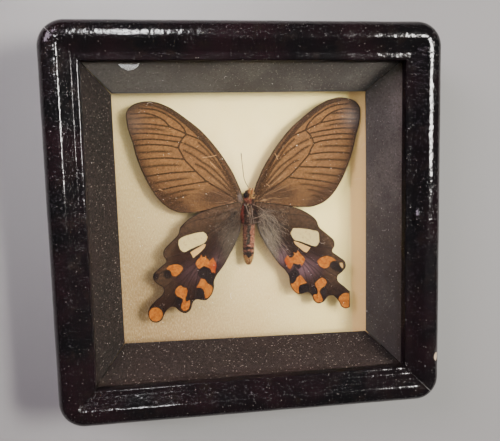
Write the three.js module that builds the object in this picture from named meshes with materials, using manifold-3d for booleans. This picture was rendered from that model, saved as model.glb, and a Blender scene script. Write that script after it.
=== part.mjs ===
// A large tailed butterfly, belly up, in a deep lacquered box frame behind glass.
// Millimetres. The frame lies on its back: +Z is up out of the glass, +Y is the top of the picture.
// The origin is at the middle of the back.

import * as THREE from "three";
import { mergeVertices } from "three/addons/utils/BufferGeometryUtils.js";
import Module from "manifold-3d";

const wasm = await Module();
wasm.setup();

// Driving dimensions of the frame
const GAP = 0.3;
const OUTER_HALF = 82;
const REBATE_HALF = 68;
const CREST_HALF = 75;
const SLOPE_HALF = 72.4;
const CORNER_RADIUS = 11;
const CORNER_STEPS = 4;
const GLASS_TOP = 33;
const GLASS_THICKNESS = 2;
const WIDEST_HEIGHT = 32.5;
const CREST_HEIGHT = 41.3;
const SLOPE_HEIGHT = 40.6;
const LIP_HEIGHT = 38.1;
const SHOULDER_STEPS = 7;
// The small bevel round the foot of the outer face: how far in it starts, then its upper edge
const FOOT_INSET = 1;
const FOOT_EDGE_INSET = 0.3;
const FOOT_EDGE_HEIGHT = 0.7;
// Where the flat of the crest ends, and the hollow that the inner slope runs through to the lip
const CREST_EDGE_RUN = 1;
const CREST_EDGE_DROP = 0.15;
const COVE_HALF = 69.6;
const COVE_HEIGHT = 39;
const LIP_TOP_HALF = 67.6;
const LIP_TOP_RISE = 0.1;
// Rounding of the lip, from the top inwards: distance back from the opening, then drop
const LIP_ROUNDING = [[0.8, 0], [0.2, 0.5], [0, 1.2]];
// The opening of the lip and the liner's window are hand cut, a little out of square.
// Their corners go upper left, upper right, lower right, lower left.
const LIP_CORNERS = [[-66, 65.6], [65.8, 65.6], [65.8, -65.8], [-66.4, -66.3]];
const WINDOW_CORNERS = [[-56.7, 55.8], [56.8, 55.8], [56.5, -56.3], [-56.1, -54.8]];

// Driving dimensions of what is inside the frame
const WINDOW_HEIGHT = 12.7;
const LINER_THICKNESS = 0.8;
const BACKBOARD_THICKNESS = 2.5;
const CARD_TOP = 4;
const FOLD_TOP_X = 50.6;
const FOLD_BOTTOM_X = 52;
const FLAP_RUN = 6.4;
const FLAP_RISE = 7;

// Driving dimensions of the specimen
const MIDLINE_X = 2;
const WING_THICKNESS = 0.5;
const FOREWING_HEIGHT = 8;
const HINDWING_STEP = 0.85;
// Each wing rises over this reach from the root, and bows a little over its whole span
const WING_RISE = 1.7;
const RISE_REACH = 14;
const BOW_HEIGHT = 0.5;
const BOW_SPAN = 52;
// Extra height per millimetre towards the tail, and towards the forewing tips
const TAIL_LIFT = 0.012;
const TIP_LIFT = 0.006;
const BODY_TILT = THREE.MathUtils.degToRad(-2.1);
const BODY_HEIGHT = 8.5;
const BODY_SIDESTEP = 0.3;
// The right tail ends at this line, and the piece that is taken off beyond it has this size and middle
const TAIL_CUT_X = 49.2;
const CUT_PIECE = [20, 30, 40];
const CUT_PIECE_MIDDLE_Y = -44;

// Forewing outline: distance out from the midline, then height, from the root round the tip
const FOREWING = [
  [2.2, 8.6], [6.3, 20], [10.3, 27], [15.3, 34], [21, 40.4], [27, 45.3], [32.6, 49.4],
  [37.6, 51.9], [42.6, 53], [47.5, 52.5], [50.8, 51], [52.8, 48.4], [53, 45], [52.6, 41.5],
  [51, 35.8], [49, 27.5], [46.2, 20], [43.2, 14], [39.5, 8.8], [35.2, 5.2], [30, 3.4],
  [24, 3.4], [14, 4.2], [3.2, 4.6],
];
// Hindwing outline: from the root along the front edge, round the lobes and the tail
const HINDWING = [
  [3.6, 7.2], [9, 6.7], [13.5, 6], [19, 4.6], [24.2, 2.6], [28.8, -0.4], [31.3, -3],
  [32.4, -6.2], [36, -9.8], [39, -12.9], [39.3, -15.4], [38.1, -18.1], [40.8, -20.6],
  [43.9, -23.5], [44.2, -26], [42.5, -28.2], [40, -30.2], [40, -32.3], [43.5, -35.9],
  [46.4, -39], [47.3, -42], [46.3, -44.8], [43.6, -46.1], [41.2, -45], [40, -42.4],
  [37.5, -39.3], [35.1, -39.3], [32.8, -41.5], [30.2, -42.4], [28, -40.8], [26.8, -37.6],
  [25.2, -36.4], [21, -37], [18.7, -35.3], [17.1, -32], [16.8, -28.2], [15.2, -25.1],
  [12.8, -22.3], [9.6, -17.3], [6.1, -10.8], [3.8, -4.5],
];
// How each wing sits: its side, how far its hind end swings outwards, and its lift up the card
const WINGS = [
  { name: "forewing_left", side: -1, swing: 0, lift: -0.4, hind: false },
  { name: "forewing_right", side: 1, swing: 0, lift: 0.4, hind: false },
  { name: "hindwing_left", side: -1, swing: 0, lift: -0.4, hind: true },
  { name: "hindwing_right", side: 1, swing: 2.3, lift: -0.7, hind: true },
];
const SWING_CENTRE = [4, 2];
// The sheets that the wings are cut from, before trimming, and the middle of each up the card
const SHEET_WIDTH = 60;
const SHEET_LENGTH = 62;
const SHEET_DIVISIONS = 12;
const FORE_SHEET_MIDDLE = 28;
const HIND_SHEET_MIDDLE = -20;
const OUTLINE_STEPS = 3;
const CUTTER_DEPTH = 20;
// Two small tears in the outer edge of the right forewing: place of the tip, then its mouth
const TEARS = [
  [[52, 49.6], [57, 49.4], [57, 50.2]],
  [[49.6, 25.8], [53, 24], [53, 25.6]],
];

// Body of revolution along the length of the body: place along it, then radius
const BODY_PROFILE = [
  [-23, 0], [-22.4, 0.6], [-21, 1.5], [-19.4, 2.1], [-17.9, 2.5], [-17.6, 2.35], [-15.6, 2.65],
  [-15.3, 2.5], [-13, 2.75], [-12.7, 2.6], [-10.4, 2.8], [-10.1, 2.65], [-7.8, 2.8], [-7.5, 2.65],
  [-5.2, 2.75], [-4.9, 2.6], [-3.4, 2.7], [-2.6, 3.2], [-1, 3.9], [1.4, 4.1], [4, 3.8],
  [6, 2.9], [6.8, 2.2], [7.4, 1.9], [8.6, 2.3], [10.2, 2.3], [11.6, 1.6], [12.4, 0.7], [12.6, 0],
];
const BODY_SIDES = 18;
const BODY_FLATTEN = 0.92;
// Eyes: place, then radius
const EYES = [[-1.7, 9.8, 0.5, 1.1], [1.7, 9.8, 0.5, 1.1]];
const EYE_SIDES = 10;
const EYE_RINGS = 8;
const PALPS = [
  [[-0.5, 10.5, 1.2], [-0.2, 12.2, 1.9], [0.3, 13.4, 1.9]],
  [[0.9, 10.5, 1.2], [1.2, 12.2, 1.7], [1.4, 13.2, 1.6]],
];
const PALP = { radius: 0.55, sides: 7, steps: 4 };
// Legs as routes from the breast: three fold back along it, three reach over the right hindwing
const LEGS = [
  [[-2.1, 6, 2.6], [-1.4, 3.6, 3.9], [-0.4, 0.4, 4], [0.2, -2.6, 3.2]],
  [[0.6, 5.4, 3.2], [0.9, 2.8, 4.1], [1.3, -0.4, 3.9], [2, -3, 3]],
  [[-0.8, 2.6, 3.4], [0.3, 0.2, 4.3], [0.6, -3, 3.4], [0.4, -5.8, 2.8]],
  [[1.6, 5.8, 2.4], [4.2, 4.6, 4], [6.6, 2.9, 3.4], [9.8, 2.4, 2.8]],
  [[1.4, -0.6, 3.2], [3.8, 0.2, 3.8], [6, 1.2, 3.2], [8, 2.4, 2.8]],
  [[1.6, -2.6, 2.4], [4, -2.2, 3.4], [6.2, -1, 3], [8, 0.2, 2.6]],
];
const LEG = { radius: 0.28, sides: 6, steps: 8 };
const ANTENNA_ROUTE = [[2.1, 13.6, 9.9], [0.4, 17.2, 10.2], [-0.3, 22.6, 10.6], [-0.9, 29.2, 10.8]];
const ANTENNA = { radius: 0.25, sides: 6, steps: 12 };

// Materials
const material = (color, roughness) => new THREE.MeshStandardMaterial({ color, roughness, metalness: 0 });
const lacquer = material("#17100f", 0.2);
const glazing = new THREE.MeshStandardMaterial({
  color: "#e4ebe8", roughness: 0.05, metalness: 0, transparent: true, opacity: 0.25,
});
const linerCard = material("#2b2827", 0.8);
const creamCard = material("#dcd2ba", 0.9);
const board = material("#8a6c4b", 0.9);
const foreScales = material("#8e6c4a", 0.7);
const hindScales = material("#3d3029", 0.7);
const bodyHair = material("#6b3a2e", 0.8);
const horn = material("#3a2c22", 0.6);

// Closed solid from a section whose corners each run along a strand, from one end to the other.
// flat holds the section as plane points, and along is the direction from the first end to the last.
function strandedSolid(strands, flat, along) {
  const vertices = strands.flat();
  const firsts = [];
  let count = 0;
  for (const strand of strands) {
    firsts.push(count);
    count += strand.length;
  }
  const index = [];
  const travel = (i) => new THREE.Vector3(...vertices[i]).dot(along);
  strands.forEach((strand, s) => {
    const next = (s + 1) % strands.length;
    const endA = firsts[s] + strand.length - 1;
    const endB = firsts[next] + strands[next].length - 1;
    let a = firsts[s];
    let b = firsts[next];
    while (a < endA || b < endB) {
      const moveA = b === endB || (a < endA && travel(a + 1) + travel(a) <= travel(b + 1) + travel(b));
      index.push(a, b, moveA ? a + 1 : b + 1);
      if (moveA) a += 1;
      else b += 1;
    }
  });
  for (const [i, j, k] of THREE.ShapeUtils.triangulateShape(flat, [])) {
    index.push(firsts[i], firsts[k], firsts[j]);
    const last = (n) => firsts[n] + strands[n].length - 1;
    index.push(last(i), last(j), last(k));
  }
  const geometry = new THREE.BufferGeometry();
  geometry.setAttribute("position", new THREE.Float32BufferAttribute(vertices.flat(), 3));
  geometry.setIndex(index);
  return geometry;
}

const squareCorners = (half) => [[-half, half], [half, half], [half, -half], [-half, -half]];

// The route of one section point along one side of a square ring, from mitre to mitre.
// Points outside the middle of the corner's arc go round it, and those inside it meet in a sharp corner.
function mitredStrand(point, side) {
  const [x0, y0] = point.corners[side];
  const [x1, y1] = point.corners[(side + 1) % 4];
  const along = new THREE.Vector2(x1 - x0, y1 - y0).normalize();
  const out = new THREE.Vector2(-along.y, along.x);
  const gap = GAP / Math.SQRT2;
  const arcMiddle = OUTER_HALF - CORNER_RADIUS;
  const radius = Math.abs(y0) - arcMiddle;
  if (radius <= 0) {
    return [
      [x0 + along.x * gap, y0 + along.y * gap, point.z],
      [x1 - along.x * gap, y1 - along.y * gap, point.z],
    ];
  }
  const quarter = [];
  for (let k = 0; k < CORNER_STEPS; k += 1) {
    const turn = (Math.PI / 4) * (1 - k / (CORNER_STEPS - 1));
    const reach = arcMiddle + radius * Math.sin(turn) - (k === 0 ? gap : 0);
    quarter.push([reach, arcMiddle + radius * Math.cos(turn)]);
  }
  const cornerPoint = (end, [reach, height]) => [
    along.x * end * reach + out.x * height,
    along.y * end * reach + out.y * height,
    point.z,
  ];
  const start = quarter.map((p) => cornerPoint(-1, p));
  const finish = quarter.reverse().map((p) => cornerPoint(1, p));
  return [...start, ...finish];
}

// One side of a square ring with that section, mitred at both ends
function mitredBar(section, side) {
  const along = new THREE.Vector3(
    section[0].corners[(side + 1) % 4][0] - section[0].corners[side][0],
    section[0].corners[(side + 1) % 4][1] - section[0].corners[side][1],
    0,
  ).normalize();
  const flat = section.map((point) => new THREE.Vector2(Math.abs(point.corners[side][1]), point.z));
  const strands = section.map((point) => mitredStrand(point, side));
  return strandedSolid(strands, flat, along);
}

// Section of the moulding, from the back of the rebate round the outside to the underside of the lip
function railSection() {
  const at = (half, z) => ({ corners: squareCorners(half), z });
  const section = [at(REBATE_HALF, 0), at(OUTER_HALF - FOOT_INSET, 0)];
  section.push(at(OUTER_HALF - FOOT_EDGE_INSET, FOOT_EDGE_HEIGHT));
  for (let k = 0; k <= SHOULDER_STEPS; k += 1) {
    const angle = ((Math.PI / 2) * k) / SHOULDER_STEPS;
    const half = CREST_HALF + (OUTER_HALF - CREST_HALF) * Math.cos(angle);
    section.push(at(half, WIDEST_HEIGHT + (CREST_HEIGHT - WIDEST_HEIGHT) * Math.sin(angle)));
  }
  section.push(at(SLOPE_HALF + CREST_EDGE_RUN, CREST_HEIGHT - CREST_EDGE_DROP));
  section.push(at(SLOPE_HALF, SLOPE_HEIGHT));
  section.push(at(COVE_HALF, COVE_HEIGHT));
  section.push(at(LIP_TOP_HALF, LIP_HEIGHT + LIP_TOP_RISE));
  const lip = (inset, z) => ({
    corners: LIP_CORNERS.map(([x, y]) => [x + Math.sign(x) * inset, y + Math.sign(y) * inset]),
    z,
  });
  for (const [inset, drop] of LIP_ROUNDING) {
    section.push(lip(inset, LIP_HEIGHT - drop));
  }
  section.push(lip(0, GLASS_TOP + GAP));
  section.push(at(REBATE_HALF, GLASS_TOP + GAP));
  return section;
}

// Section of the sloping liner: from its window up to the glass and back down its hidden face
function linerSection() {
  const top = GLASS_TOP - GLASS_THICKNESS - GAP;
  const grow = (corners, by) => corners.map(([x, y]) => [x + Math.sign(x) * by, y + Math.sign(y) * by]);
  return [
    { corners: WINDOW_CORNERS, z: WINDOW_HEIGHT },
    { corners: grow(WINDOW_CORNERS, LINER_THICKNESS), z: WINDOW_HEIGHT },
    { corners: squareCorners(REBATE_HALF - GAP), z: top },
    { corners: squareCorners(REBATE_HALF - GAP - LINER_THICKNESS), z: top },
  ];
}

// The backing card: flat under the specimen, with one side folded up under the right liner panel
function backingCardGeometry() {
  const half = REBATE_HALF - GAP;
  const under = BACKBOARD_THICKNESS + GAP;
  const thickness = CARD_TOP - under;
  const sectionAt = (fold) => [
    [-half, under],
    [fold + thickness / 2, under],
    [fold + thickness + FLAP_RUN, CARD_TOP + FLAP_RISE - thickness / 2],
    [fold + FLAP_RUN, CARD_TOP + FLAP_RISE],
    [fold, CARD_TOP],
    [-half, CARD_TOP],
  ];
  const upper = sectionAt(FOLD_TOP_X);
  const lower = sectionAt(FOLD_BOTTOM_X);
  const strands = upper.map(([x, z], i) => [[x, half, z], [lower[i][0], -half, lower[i][1]]]);
  const flat = upper.map(([x, z]) => new THREE.Vector2(x, z));
  return strandedSolid(strands, flat, new THREE.Vector3(0, -1, 0));
}

// Joining and cutting of closed meshes
function toSolid(geometry) {
  const bare = geometry.clone();
  bare.deleteAttribute("normal");
  bare.deleteAttribute("uv");
  const merged = mergeVertices(bare, 1e-4);
  return new wasm.Manifold(
    new wasm.Mesh({
      numProp: 3,
      vertProperties: new Float32Array(merged.attributes.position.array),
      triVerts: new Uint32Array(merged.index.array),
    }),
  );
}

function toGeometry(solid) {
  const mesh = solid.getMesh();
  const geometry = new THREE.BufferGeometry();
  geometry.setAttribute("position", new THREE.BufferAttribute(new Float32Array(mesh.vertProperties), 3));
  geometry.setIndex(new THREE.BufferAttribute(new Uint32Array(mesh.triVerts), 1));
  return geometry;
}

// Where a point of a wing outline lies on the card: out from the midline, swung and lifted
function placeOnCard(wing, [out, up]) {
  const angle = THREE.MathUtils.degToRad(wing.swing);
  const du = out - SWING_CENTRE[0];
  const dv = up - SWING_CENTRE[1];
  const swungOut = SWING_CENTRE[0] + du * Math.cos(angle) - dv * Math.sin(angle);
  const swungUp = SWING_CENTRE[1] + du * Math.sin(angle) + dv * Math.cos(angle);
  return [MIDLINE_X + wing.side * swungOut, swungUp + wing.lift];
}

// Height of a wing's underside: it rises from the root, bows between root and edge, and the
// hindwing lies a step above the forewing
function wingHeight(wing, x, y) {
  const out = Math.abs(x - MIDLINE_X);
  const spread = 1 - Math.exp(-out / RISE_REACH);
  const bow = Math.sin((Math.PI * Math.min(out, BOW_SPAN)) / BOW_SPAN);
  const rise = FOREWING_HEIGHT + WING_RISE * spread + BOW_HEIGHT * bow;
  if (wing.hind) return rise + HINDWING_STEP + TAIL_LIFT * Math.max(0, -y);
  return rise + TIP_LIFT * Math.max(0, y);
}

// A deep upright block over a flat outline, to cut with
function cutter(points) {
  const shape = new THREE.Shape(points.map(([x, y]) => new THREE.Vector2(x, y)));
  return toSolid(new THREE.ExtrudeGeometry(shape, { depth: CUTTER_DEPTH, bevelEnabled: false }));
}

// A wing: a bowed sheet trimmed to its outline, torn or cut where the specimen is, and clear of the body
function wingGeometry(wing, bodyRoom) {
  const outline = (wing.hind ? HINDWING : FOREWING).map((point) => placeOnCard(wing, point));
  const curve = new THREE.CatmullRomCurve3(
    outline.map(([x, y]) => new THREE.Vector3(x, y, 0)), true, "centripetal",
  );
  const smooth = curve.getPoints(outline.length * OUTLINE_STEPS).slice(0, -1);
  const outlineBlock = cutter(smooth.map((p) => [p.x, p.y]));
  const sheet = new THREE.BoxGeometry(
    SHEET_WIDTH, SHEET_LENGTH, WING_THICKNESS, SHEET_DIVISIONS, SHEET_DIVISIONS, 1,
  );
  const sheetMiddle = wing.hind ? HIND_SHEET_MIDDLE : FORE_SHEET_MIDDLE;
  sheet.translate((wing.side * SHEET_WIDTH) / 2 + MIDLINE_X, sheetMiddle, 0);
  const position = sheet.getAttribute("position");
  for (let i = 0; i < position.count; i += 1) {
    const height = wingHeight(wing, position.getX(i), position.getY(i));
    position.setZ(i, position.getZ(i) + WING_THICKNESS / 2 + height);
  }
  let solid = toSolid(sheet).intersect(outlineBlock).subtract(bodyRoom);
  if (wing.name === "forewing_right") {
    for (const tear of TEARS) {
      solid = solid.subtract(cutter(tear.map((p) => placeOnCard(wing, p))));
    }
  }
  if (wing.name === "hindwing_right") {
    const cutPiece = new THREE.BoxGeometry(...CUT_PIECE);
    cutPiece.translate(TAIL_CUT_X + CUT_PIECE[0] / 2, CUT_PIECE_MIDDLE_Y, 0);
    solid = solid.subtract(toSolid(cutPiece));
  }
  return toGeometry(solid);
}

// A thin round limb along a route, closed at both ends
function limb(route, { radius, sides, steps }) {
  const ring = [];
  for (let k = 0; k < sides; k += 1) {
    const angle = (2 * Math.PI * k) / sides;
    ring.push(new THREE.Vector2(radius * Math.cos(angle), radius * Math.sin(angle)));
  }
  const path = new THREE.CatmullRomCurve3(route.map((p) => new THREE.Vector3(...p)));
  return new THREE.ExtrudeGeometry(new THREE.Shape(ring), { steps, extrudePath: path, bevelEnabled: false });
}

// The body's trunk, fatter all round by extra and flattened, in the body's own coordinates
function trunkGeometry(extra) {
  const profile = BODY_PROFILE.map(([y, radius]) => {
    const grown = radius === 0 ? 0 : radius + extra;
    const end = radius === 0 ? Math.sign(y) * extra : 0;
    return new THREE.Vector2(grown, y + end);
  });
  const trunk = new THREE.LatheGeometry(profile, BODY_SIDES);
  trunk.scale(1, 1, BODY_FLATTEN);
  return trunk;
}

// From the body's own coordinates to its place on the card
function layBody(geometry) {
  geometry.rotateZ(BODY_TILT);
  geometry.translate(MIDLINE_X + BODY_SIDESTEP, 0, BODY_HEIGHT);
  return geometry;
}

// Trunk and eyes, grown all round by extra
function bodyCore(extra) {
  let solid = toSolid(layBody(trunkGeometry(extra)));
  for (const [x, y, z, radius] of EYES) {
    const eye = new THREE.SphereGeometry(radius + extra, EYE_SIDES, EYE_RINGS);
    eye.translate(x, y, z);
    solid = solid.add(toSolid(layBody(eye)));
  }
  return solid;
}

// The whole body: trunk, eyes, palps and legs as one solid
function bodyGeometry() {
  let solid = bodyCore(0);
  for (const route of PALPS) {
    solid = solid.add(toSolid(layBody(limb(route, PALP))));
  }
  for (const route of LEGS) {
    solid = solid.add(toSolid(layBody(limb(route, LEG))));
  }
  return toGeometry(solid);
}

// Assembly
const part = new THREE.Group();

function place(name, geometry, finish) {
  const mesh = new THREE.Mesh(geometry, finish);
  mesh.name = name;
  part.add(mesh);
  return mesh;
}

["top", "right", "bottom", "left"].forEach((edge, side) => {
  place("rail_" + edge, mitredBar(railSection(), side), lacquer);
  place("liner_" + edge, mitredBar(linerSection(), side), linerCard);
});

const inside = 2 * (REBATE_HALF - GAP);
const glass = place("glass", new THREE.BoxGeometry(inside, inside, GLASS_THICKNESS), glazing);
glass.position.z = GLASS_TOP - GLASS_THICKNESS / 2;
const backboard = place("backboard", new THREE.BoxGeometry(inside, inside, BACKBOARD_THICKNESS), board);
backboard.position.z = BACKBOARD_THICKNESS / 2;
place("backing_card", backingCardGeometry(), creamCard);

const bodyRoom = bodyCore(GAP);
for (const wing of WINGS) {
  place(wing.name, wingGeometry(wing, bodyRoom), wing.hind ? hindScales : foreScales);
}
place("body", bodyGeometry(), bodyHair);
place("antenna", limb(ANTENNA_ROUTE, ANTENNA), horn);

export default part;
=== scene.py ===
import math

import bpy
import numpy as np
from mathutils import Matrix, Vector, geometry, noise


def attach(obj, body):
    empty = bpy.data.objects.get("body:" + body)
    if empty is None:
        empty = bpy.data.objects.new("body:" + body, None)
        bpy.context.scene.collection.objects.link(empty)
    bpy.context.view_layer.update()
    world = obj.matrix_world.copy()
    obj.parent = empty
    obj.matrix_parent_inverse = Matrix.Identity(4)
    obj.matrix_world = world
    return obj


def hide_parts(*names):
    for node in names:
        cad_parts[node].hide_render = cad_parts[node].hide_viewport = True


# A large tailed butterfly, belly up, in a deep lacquered box frame behind glass.
# The frame lies on its back. Sizes below are in millimetres, and meshes are made in metres.

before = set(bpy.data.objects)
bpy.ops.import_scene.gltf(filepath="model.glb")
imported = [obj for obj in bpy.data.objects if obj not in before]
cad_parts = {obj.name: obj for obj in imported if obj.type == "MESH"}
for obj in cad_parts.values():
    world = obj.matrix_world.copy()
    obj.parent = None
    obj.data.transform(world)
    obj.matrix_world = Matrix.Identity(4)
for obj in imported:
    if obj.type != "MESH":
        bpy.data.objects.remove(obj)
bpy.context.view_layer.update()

MM = 0.001
RNG = np.random.default_rng(7)
TURN = 2 * math.pi

# Frame moulding
OUTER_HALF = 82
REBATE_HALF = 68
CREST_HALF = 75
CREST_HEIGHT = 41.3
WIDEST_HEIGHT = 32.5
LIP_HEIGHT = 38.1
GLASS_TOP = 33
SEAT_GAP = 0.3
ARC_MIDDLE = 71
MITRE_GAP = 0.03
SHOULDER_POWER = 2.4
ARC_STEPS = 10
STRAIGHT_STEPS = 110
# Places on the moulding as half width and height: foot, inner edge of the crest, cove, and back of the lip
FOOT = [(REBATE_HALF, 0), (72, 0), (77, 0), (OUTER_HALF - 1, 0), (OUTER_HALF - 0.3, 0.3)]
CREST_INNER = [(74.4, 41.29), (73.9, 41.22), (73.4, 41.02)]
COVE_TOP = (72.9, 40.72)
COVE_FOOT = (69.2, 38.38)
LIP_BACK = [(68.9, 38.2), (68.87, 38.18), (68.4, 38.1), (67.9, 38.01)]
# Rounding of the lip: distance back from the opening, then drop
LIP_ROUNDING = [(1.3, 0.19), (0.9, 0.27), (0.6, 0.36), (0.35, 0.48), (0.15, 0.66), (0.04, 0.84), (0, 1)]
LIP_INNER_HEIGHTS = [35.4, 34, GLASS_TOP + SEAT_GAP]
# The raw inner face of the lip lies nearer the middle than this, below the rounding
LIP_EDGE = 66.5
LIP_CORNERS = [(-66, 65.6), (65.8, 65.6), (65.8, -65.8), (-66.4, -66.3)]
EDGES = ["top", "right", "bottom", "left"]
LACQUER_SAG = 0.16
BLISTER = {"centre": (70.6, -0.6, 39), "reach": (1.6, 3.4), "height": 0.95}
CHIP = {"centre": (79.5, -61.3, 39.7), "radius": 2.2, "depth": 0.5}

# Backing card
CARD_HALF = 67.7
CARD_TOP = 4
CARD_UNDER = 2.8
FOLD_TOP_X = 50.6
FOLD_BOTTOM_X = 52
FLAP_RUN = 6.4
FLAP_SLOPE = 7 / 6.4
FOLD_SOFTNESS = 0.7
BEND_FROM = 46
BEND_SPAN = 14

# Dust on the glass
FLAKE_COUNT = 1300
FIBRE_COUNT = 14

# Wings
MIDLINE_X = 2
FOREWING_HEIGHT = 8
HINDWING_STEP = 0.85
WING_RISE = 1.7
CAD_WING_THICKNESS = 0.5
WING_THICKNESS = 0.14
TAIL_CUT_X = 49.2
SWING_CENTRE = (4, 2)
GRID_STEP = 0.38
EDGE_STEP = 0.3
WINGS = {
    "forewing_left": {"side": -1, "swing": 0, "lift": -0.4, "hind": False},
    "forewing_right": {"side": 1, "swing": 0, "lift": 0.4, "hind": False},
    "hindwing_left": {"side": -1, "swing": 0, "lift": -0.4, "hind": True},
    "hindwing_right": {"side": 1, "swing": 2.3, "lift": -0.7, "hind": True},
}

# Forewing outline: distance out from the midline, then height, from the root round the tip
FOREWING = [
    (2.2, 8.6), (6.3, 20), (10.3, 27), (15.3, 34), (21, 40.4), (27, 45.3), (32.6, 49.4),
    (37.6, 51.9), (42.6, 53), (47.5, 52.5), (50.8, 51), (52.8, 48.4), (53, 45), (52.6, 41.5),
    (51, 35.8), (49, 27.5), (46.2, 20), (43.2, 14), (39.5, 8.8), (35.2, 5.2), (30, 3.4),
    (24, 3.4), (14, 4.2), (3.2, 4.6),
]
# Hindwing outline: from the root along the front edge, round the lobes and the tail
HINDWING = [
    (3.6, 7.2), (9, 6.7), (13.5, 6), (19, 4.6), (24.2, 2.6), (28.8, -0.4), (31.3, -3),
    (32.4, -6.2), (36, -9.8), (39, -12.9), (39.3, -15.4), (38.1, -18.1), (40.8, -20.6),
    (43.9, -23.5), (44.2, -26), (42.5, -28.2), (40, -30.2), (40, -32.3), (43.5, -35.9),
    (46.4, -39), (47.3, -42), (46.3, -44.8), (43.6, -46.1), (41.2, -45), (40, -42.4),
    (37.5, -39.3), (35.1, -39.3), (32.8, -41.5), (30.2, -42.4), (28, -40.8), (26.8, -37.6),
    (25.2, -36.4), (21, -37), (18.7, -35.3), (17.1, -32), (16.8, -28.2), (15.2, -25.1),
    (12.8, -22.3), (9.6, -17.3), (6.1, -10.8), (3.8, -4.5),
]
# Two small tears in the outer edge of the right forewing: place of the tip, then its mouth
TEARS = [
    [(52, 49.6), (57, 49.4), (57, 50.2)],
    [(49.6, 25.8), (53, 24), (53, 25.6)],
]

# Veins of the forewing, in the outline's own coordinates
FORE_VEINS = [
    [(3.5, 9.2), (6, 15.6), (10.1, 23), (15.1, 30.4), (20, 36.9), (25.8, 42.9), (31.1, 47.2),
     (36.8, 50.6)],
    [(4.4, 9.6), (6.5, 14.7), (10.2, 21.7), (14.1, 28.3), (17.6, 32.6), (20.5, 35.6), (23.6, 37.1),
     (27, 38.4)],
    [(4.2, 9.9), (6.6, 15.6), (10.4, 22.6), (14.9, 29.6), (19.2, 34.9), (23.2, 39.5), (27.8, 43.9),
     (32.5, 47.6)],
    [(27, 38.4), (29.2, 36.2), (30.7, 32.4), (29.6, 30.1), (28.4, 27.5), (25.2, 23.8), (21.9, 20.3),
     (18.5, 17.2), (13, 13.6), (8.7, 10.9), (4.6, 7.6)],
    [(27, 38.4), (30.1, 40), (33.8, 41.7), (37, 44.8), (40.7, 46.8), (44.8, 47.8), (51.2, 47.6)],
    [(33.8, 41.7), (38, 42.4), (42.9, 43.1), (51.6, 43.2)],
    [(27, 38.4), (28.4, 41.3), (31.2, 44.2), (34.1, 46.2), (37.3, 48.1), (41, 49.4), (47.4, 50.1)],
    [(20.5, 35.6), (22.9, 38.6), (27, 42.5), (31.1, 45.9), (35.2, 48.7), (39.3, 50.6), (43.8, 51.8)],
    [(28.5, 36.9), (32.3, 37.6), (38.1, 38.5), (43.9, 39.1), (51, 39.1)],
    [(29.2, 34.8), (33.2, 35.5), (38.2, 36.2), (44, 36.6), (50.3, 36.2)],
    [(30.7, 32.4), (34.1, 33.4), (38.3, 33.9), (43.3, 34.2), (49.7, 33.9)],
    [(28.4, 27.4), (32.7, 27.9), (36.9, 28.2), (41.9, 28.1), (48.4, 27.6)],
    [(24.2, 21.9), (29.5, 21.7), (34.6, 21.5), (39.7, 21), (46, 20.1)],
    [(18.1, 17.2), (22.8, 16.7), (28, 16), (33.1, 15.3), (42.4, 13.4)],
]
# Dark stripes between the veins, each from its faint inner end to the outer edge
FORE_STRIPES = [
    [(37.8, 45.4), (42, 46), (51.8, 45.6)],
    [(33.9, 39.5), (39.7, 40.8), (44.7, 41.2), (51.4, 41.2)],
    [(31.7, 30.8), (39.3, 31.1), (48.6, 30.7)],
    [(27.7, 24.6), (36.1, 25), (46.8, 24.3)],
    [(24.5, 19.1), (33.9, 18.3), (44.4, 16.9)],
    [(21.9, 14.1), (28.9, 13.5), (39.6, 10.9)],
    [(25.6, 11.8), (31.2, 10.7), (37.4, 8.2)],
    [(28.2, 8.8), (32.4, 8), (35, 6.8)],
]
# Dark stripes inside the cell, from their outer ends in to the root
CELL_STRIPES = [
    [(5.1, 9.9), (6.9, 14.3), (10.2, 20), (14.4, 26.1), (18.1, 31.1), (21.8, 34.6)],
    [(5.5, 10.8), (8.2, 16.1), (11.9, 21.8), (16.5, 27), (20.7, 30.3), (24.8, 32.8), (28.2, 34.3)],
    [(5.7, 10.3), (8.2, 14.3), (12.4, 19.2), (16.6, 23.4), (20.8, 26.3), (25, 29.4), (28.5, 31.4)],
    [(5.7, 9.7), (7.8, 12.1), (11.6, 15.7), (15.9, 19.7), (20, 23.3), (23.4, 25.1)],
]
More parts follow.
